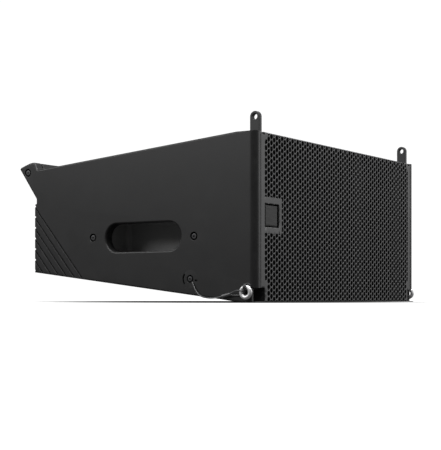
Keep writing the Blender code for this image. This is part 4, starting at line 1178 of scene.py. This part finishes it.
def rear_rigging():
    depth, z = ARM_PIVOT
    bracket = folded_cheeks("rear_bracket_fork", 172.0, 218.0, SLOT_FRONT + GAP, 452.0, (182.0, 216.0))
    bracket = carve(bracket, rods("bore", [(world(-20, depth, z), world(20, depth, z), BOLT_BORE)]))
    dress(soften(bracket), "rigging_steel", "root", "rear_bracket")

    face = REAR_FACE + GAP
    receiver = folded_cheeks("rear_receiver_fork", 50.0, 108.0, face, 450.0, (54.0, 104.0))
    bores = [(world(-20, depth, up), world(20, depth, up), BOLT_BORE) for up in (62.0, 79.0, 96.0)]
    dress(soften(carve(receiver, rods("bores", bores))), "rigging_steel", "root", "rear_receiver")

    half = ARM_WIDTH / 2
    lower = z - ARM_LENGTH + ARM_WIDTH
    outline = arc((depth, z), half, 0, 180, 24) + arc((depth, lower), half, 180, 360, 24)
    holes = [arc((depth, up), BOLT_BORE, 0, 345, 23) for up in (z, lower)]
    arm = plate("rear_swing_arm", [outline, *holes], -4.0, 4.0, 0.9, "X", 3)
    dress(soften(arm), "rigging_steel", "rear_arm", "rear_arm")

    bolt = [(0.0, 11.2), (5.4, 11.2), (6.0, 10.6), (6.0, 8.2), (5.8, 8.0), (4.0, 8.0), (4.0, -8.0)]
    bolt += [(5.8, -8.0), (6.0, -8.2), (6.0, -10.6), (5.4, -11.2), (0.0, -11.2)]
    pivot = turned("rear_arm_bolt", bolt, world(0, depth, z), (1, 0, 0))
    ends = [(world(way * 9.4, depth, z), world(way * 13.0, depth, z), 2.8) for way in (-1, 1)]
    dress(soften(carve(pivot, rods("sockets", ends, 6))), "screw_steel", "root", "rear_arm_pivot")

    quick_pin("rear_quick_pin", world(-4.3, depth, lower), -1, 15.0, "rear_pin", "rear_pin")
    pull_ring("rear_pull_ring", "rear_pin_ring", "rear_pin_ring")


# ---------------------------------------------------------------- connectors

def connectors():
    """The connector plate, its screws and two round sockets with keyed centre posts."""
    face = REAR_FACE + GAP
    middle = (PLATE_X, PLATE_Z)
    holes = [arc((PLATE_X, PLATE_Z + way * SOCKET_SPACING / 2), SOCKET_RADIUS, 0, 354, 59) for way in (-1, 1)]
    base = plate("connector_plate", [rounded_rectangle(middle, PLATE_HALF, 3.0), *holes],
                 face, face + 2.0, 0.6, "Y", 2)
    dress(soften(base), "rigging_steel", "root", "input_plate")
    for name, way in (("lower", -1), ("upper", 1)):
        place = world(PLATE_X, face + 4.0 + GAP, PLATE_Z + way * (PLATE_HALF[1] - 4))
        cap_screw(f"connector_screw_{name}", place, (0, 1, 0), 3.2, 2.0, f"input_plate_screw_{name}")
        z = PLATE_Z + way * SOCKET_SPACING / 2
        outline = [
            (0.0, -1.5), (5.2, -1.5), (5.6, -1.9), (5.6, -15.0), (9.6, -15.0), (9.6, 1.2), (10.0, 1.6),
            (SOCKET_RADIUS + 2.2, 1.6), (SOCKET_RADIUS + 3, 0.9), (SOCKET_RADIUS + 3, 0.0),
            (SOCKET_RADIUS - GAP, 0.0), (SOCKET_RADIUS - GAP, -22.0), (0.0, -22.0),
        ]
        place = world(PLATE_X, face + 2.0 + GAP, z)
        socket = turned(f"connector_socket_{name}", outline, place, (0, 1, 0), sides=64)
        keys = []
        for turn in (90, 210, 330):
            x = PLATE_X + 10.2 * math.cos(math.radians(turn))
            height = z + 10.2 * math.sin(math.radians(turn))
            keys.append((world(x, face - 10, height), world(x, face + 8, height), 1.5))
        socket = carve(socket, rods("keyways", keys, 24))
        dress(soften(socket), "socket_plastic", "root", f"input_socket_{name}")


def inner_parts():
    """The pieces inside the box keep their CAD shapes and get their own materials."""
    looks = {
        "front_baffle": "painted_ply", "waveguide": "moulded_black", "compression_driver": "magnet_steel",
        "crossover_board": "circuit_board", "crossover_coil": "copper_winding",
        "crossover_capacitor": "capacitor_film",
    }
    for tag in ("left", "right"):
        looks[f"woofer_basket_{tag}"] = "cast_basket"
        looks[f"woofer_surround_{tag}"] = "surround_rubber"
        looks[f"woofer_cone_{tag}"] = "cone_paper"
        looks[f"woofer_magnet_{tag}"] = "magnet_steel"
    for node, slot in looks.items():
        item = frame["nodes"][node]
        item.data.materials.clear()
        item.data.materials.append(FINISHES[slot])


camera()
floor()
lights()
for side, tag in SIDES:
    lanyard(side, tag)
    side_panel(side, tag)
    handle_liner(side, tag)
    side_fixings(side, tag)
    front_rigging(side, tag)
cabinet_panels()
rear_beam()
perforated_grille()
badge_plate()
foam_sheet()
rear_rigging()
connectors()
inner_parts()
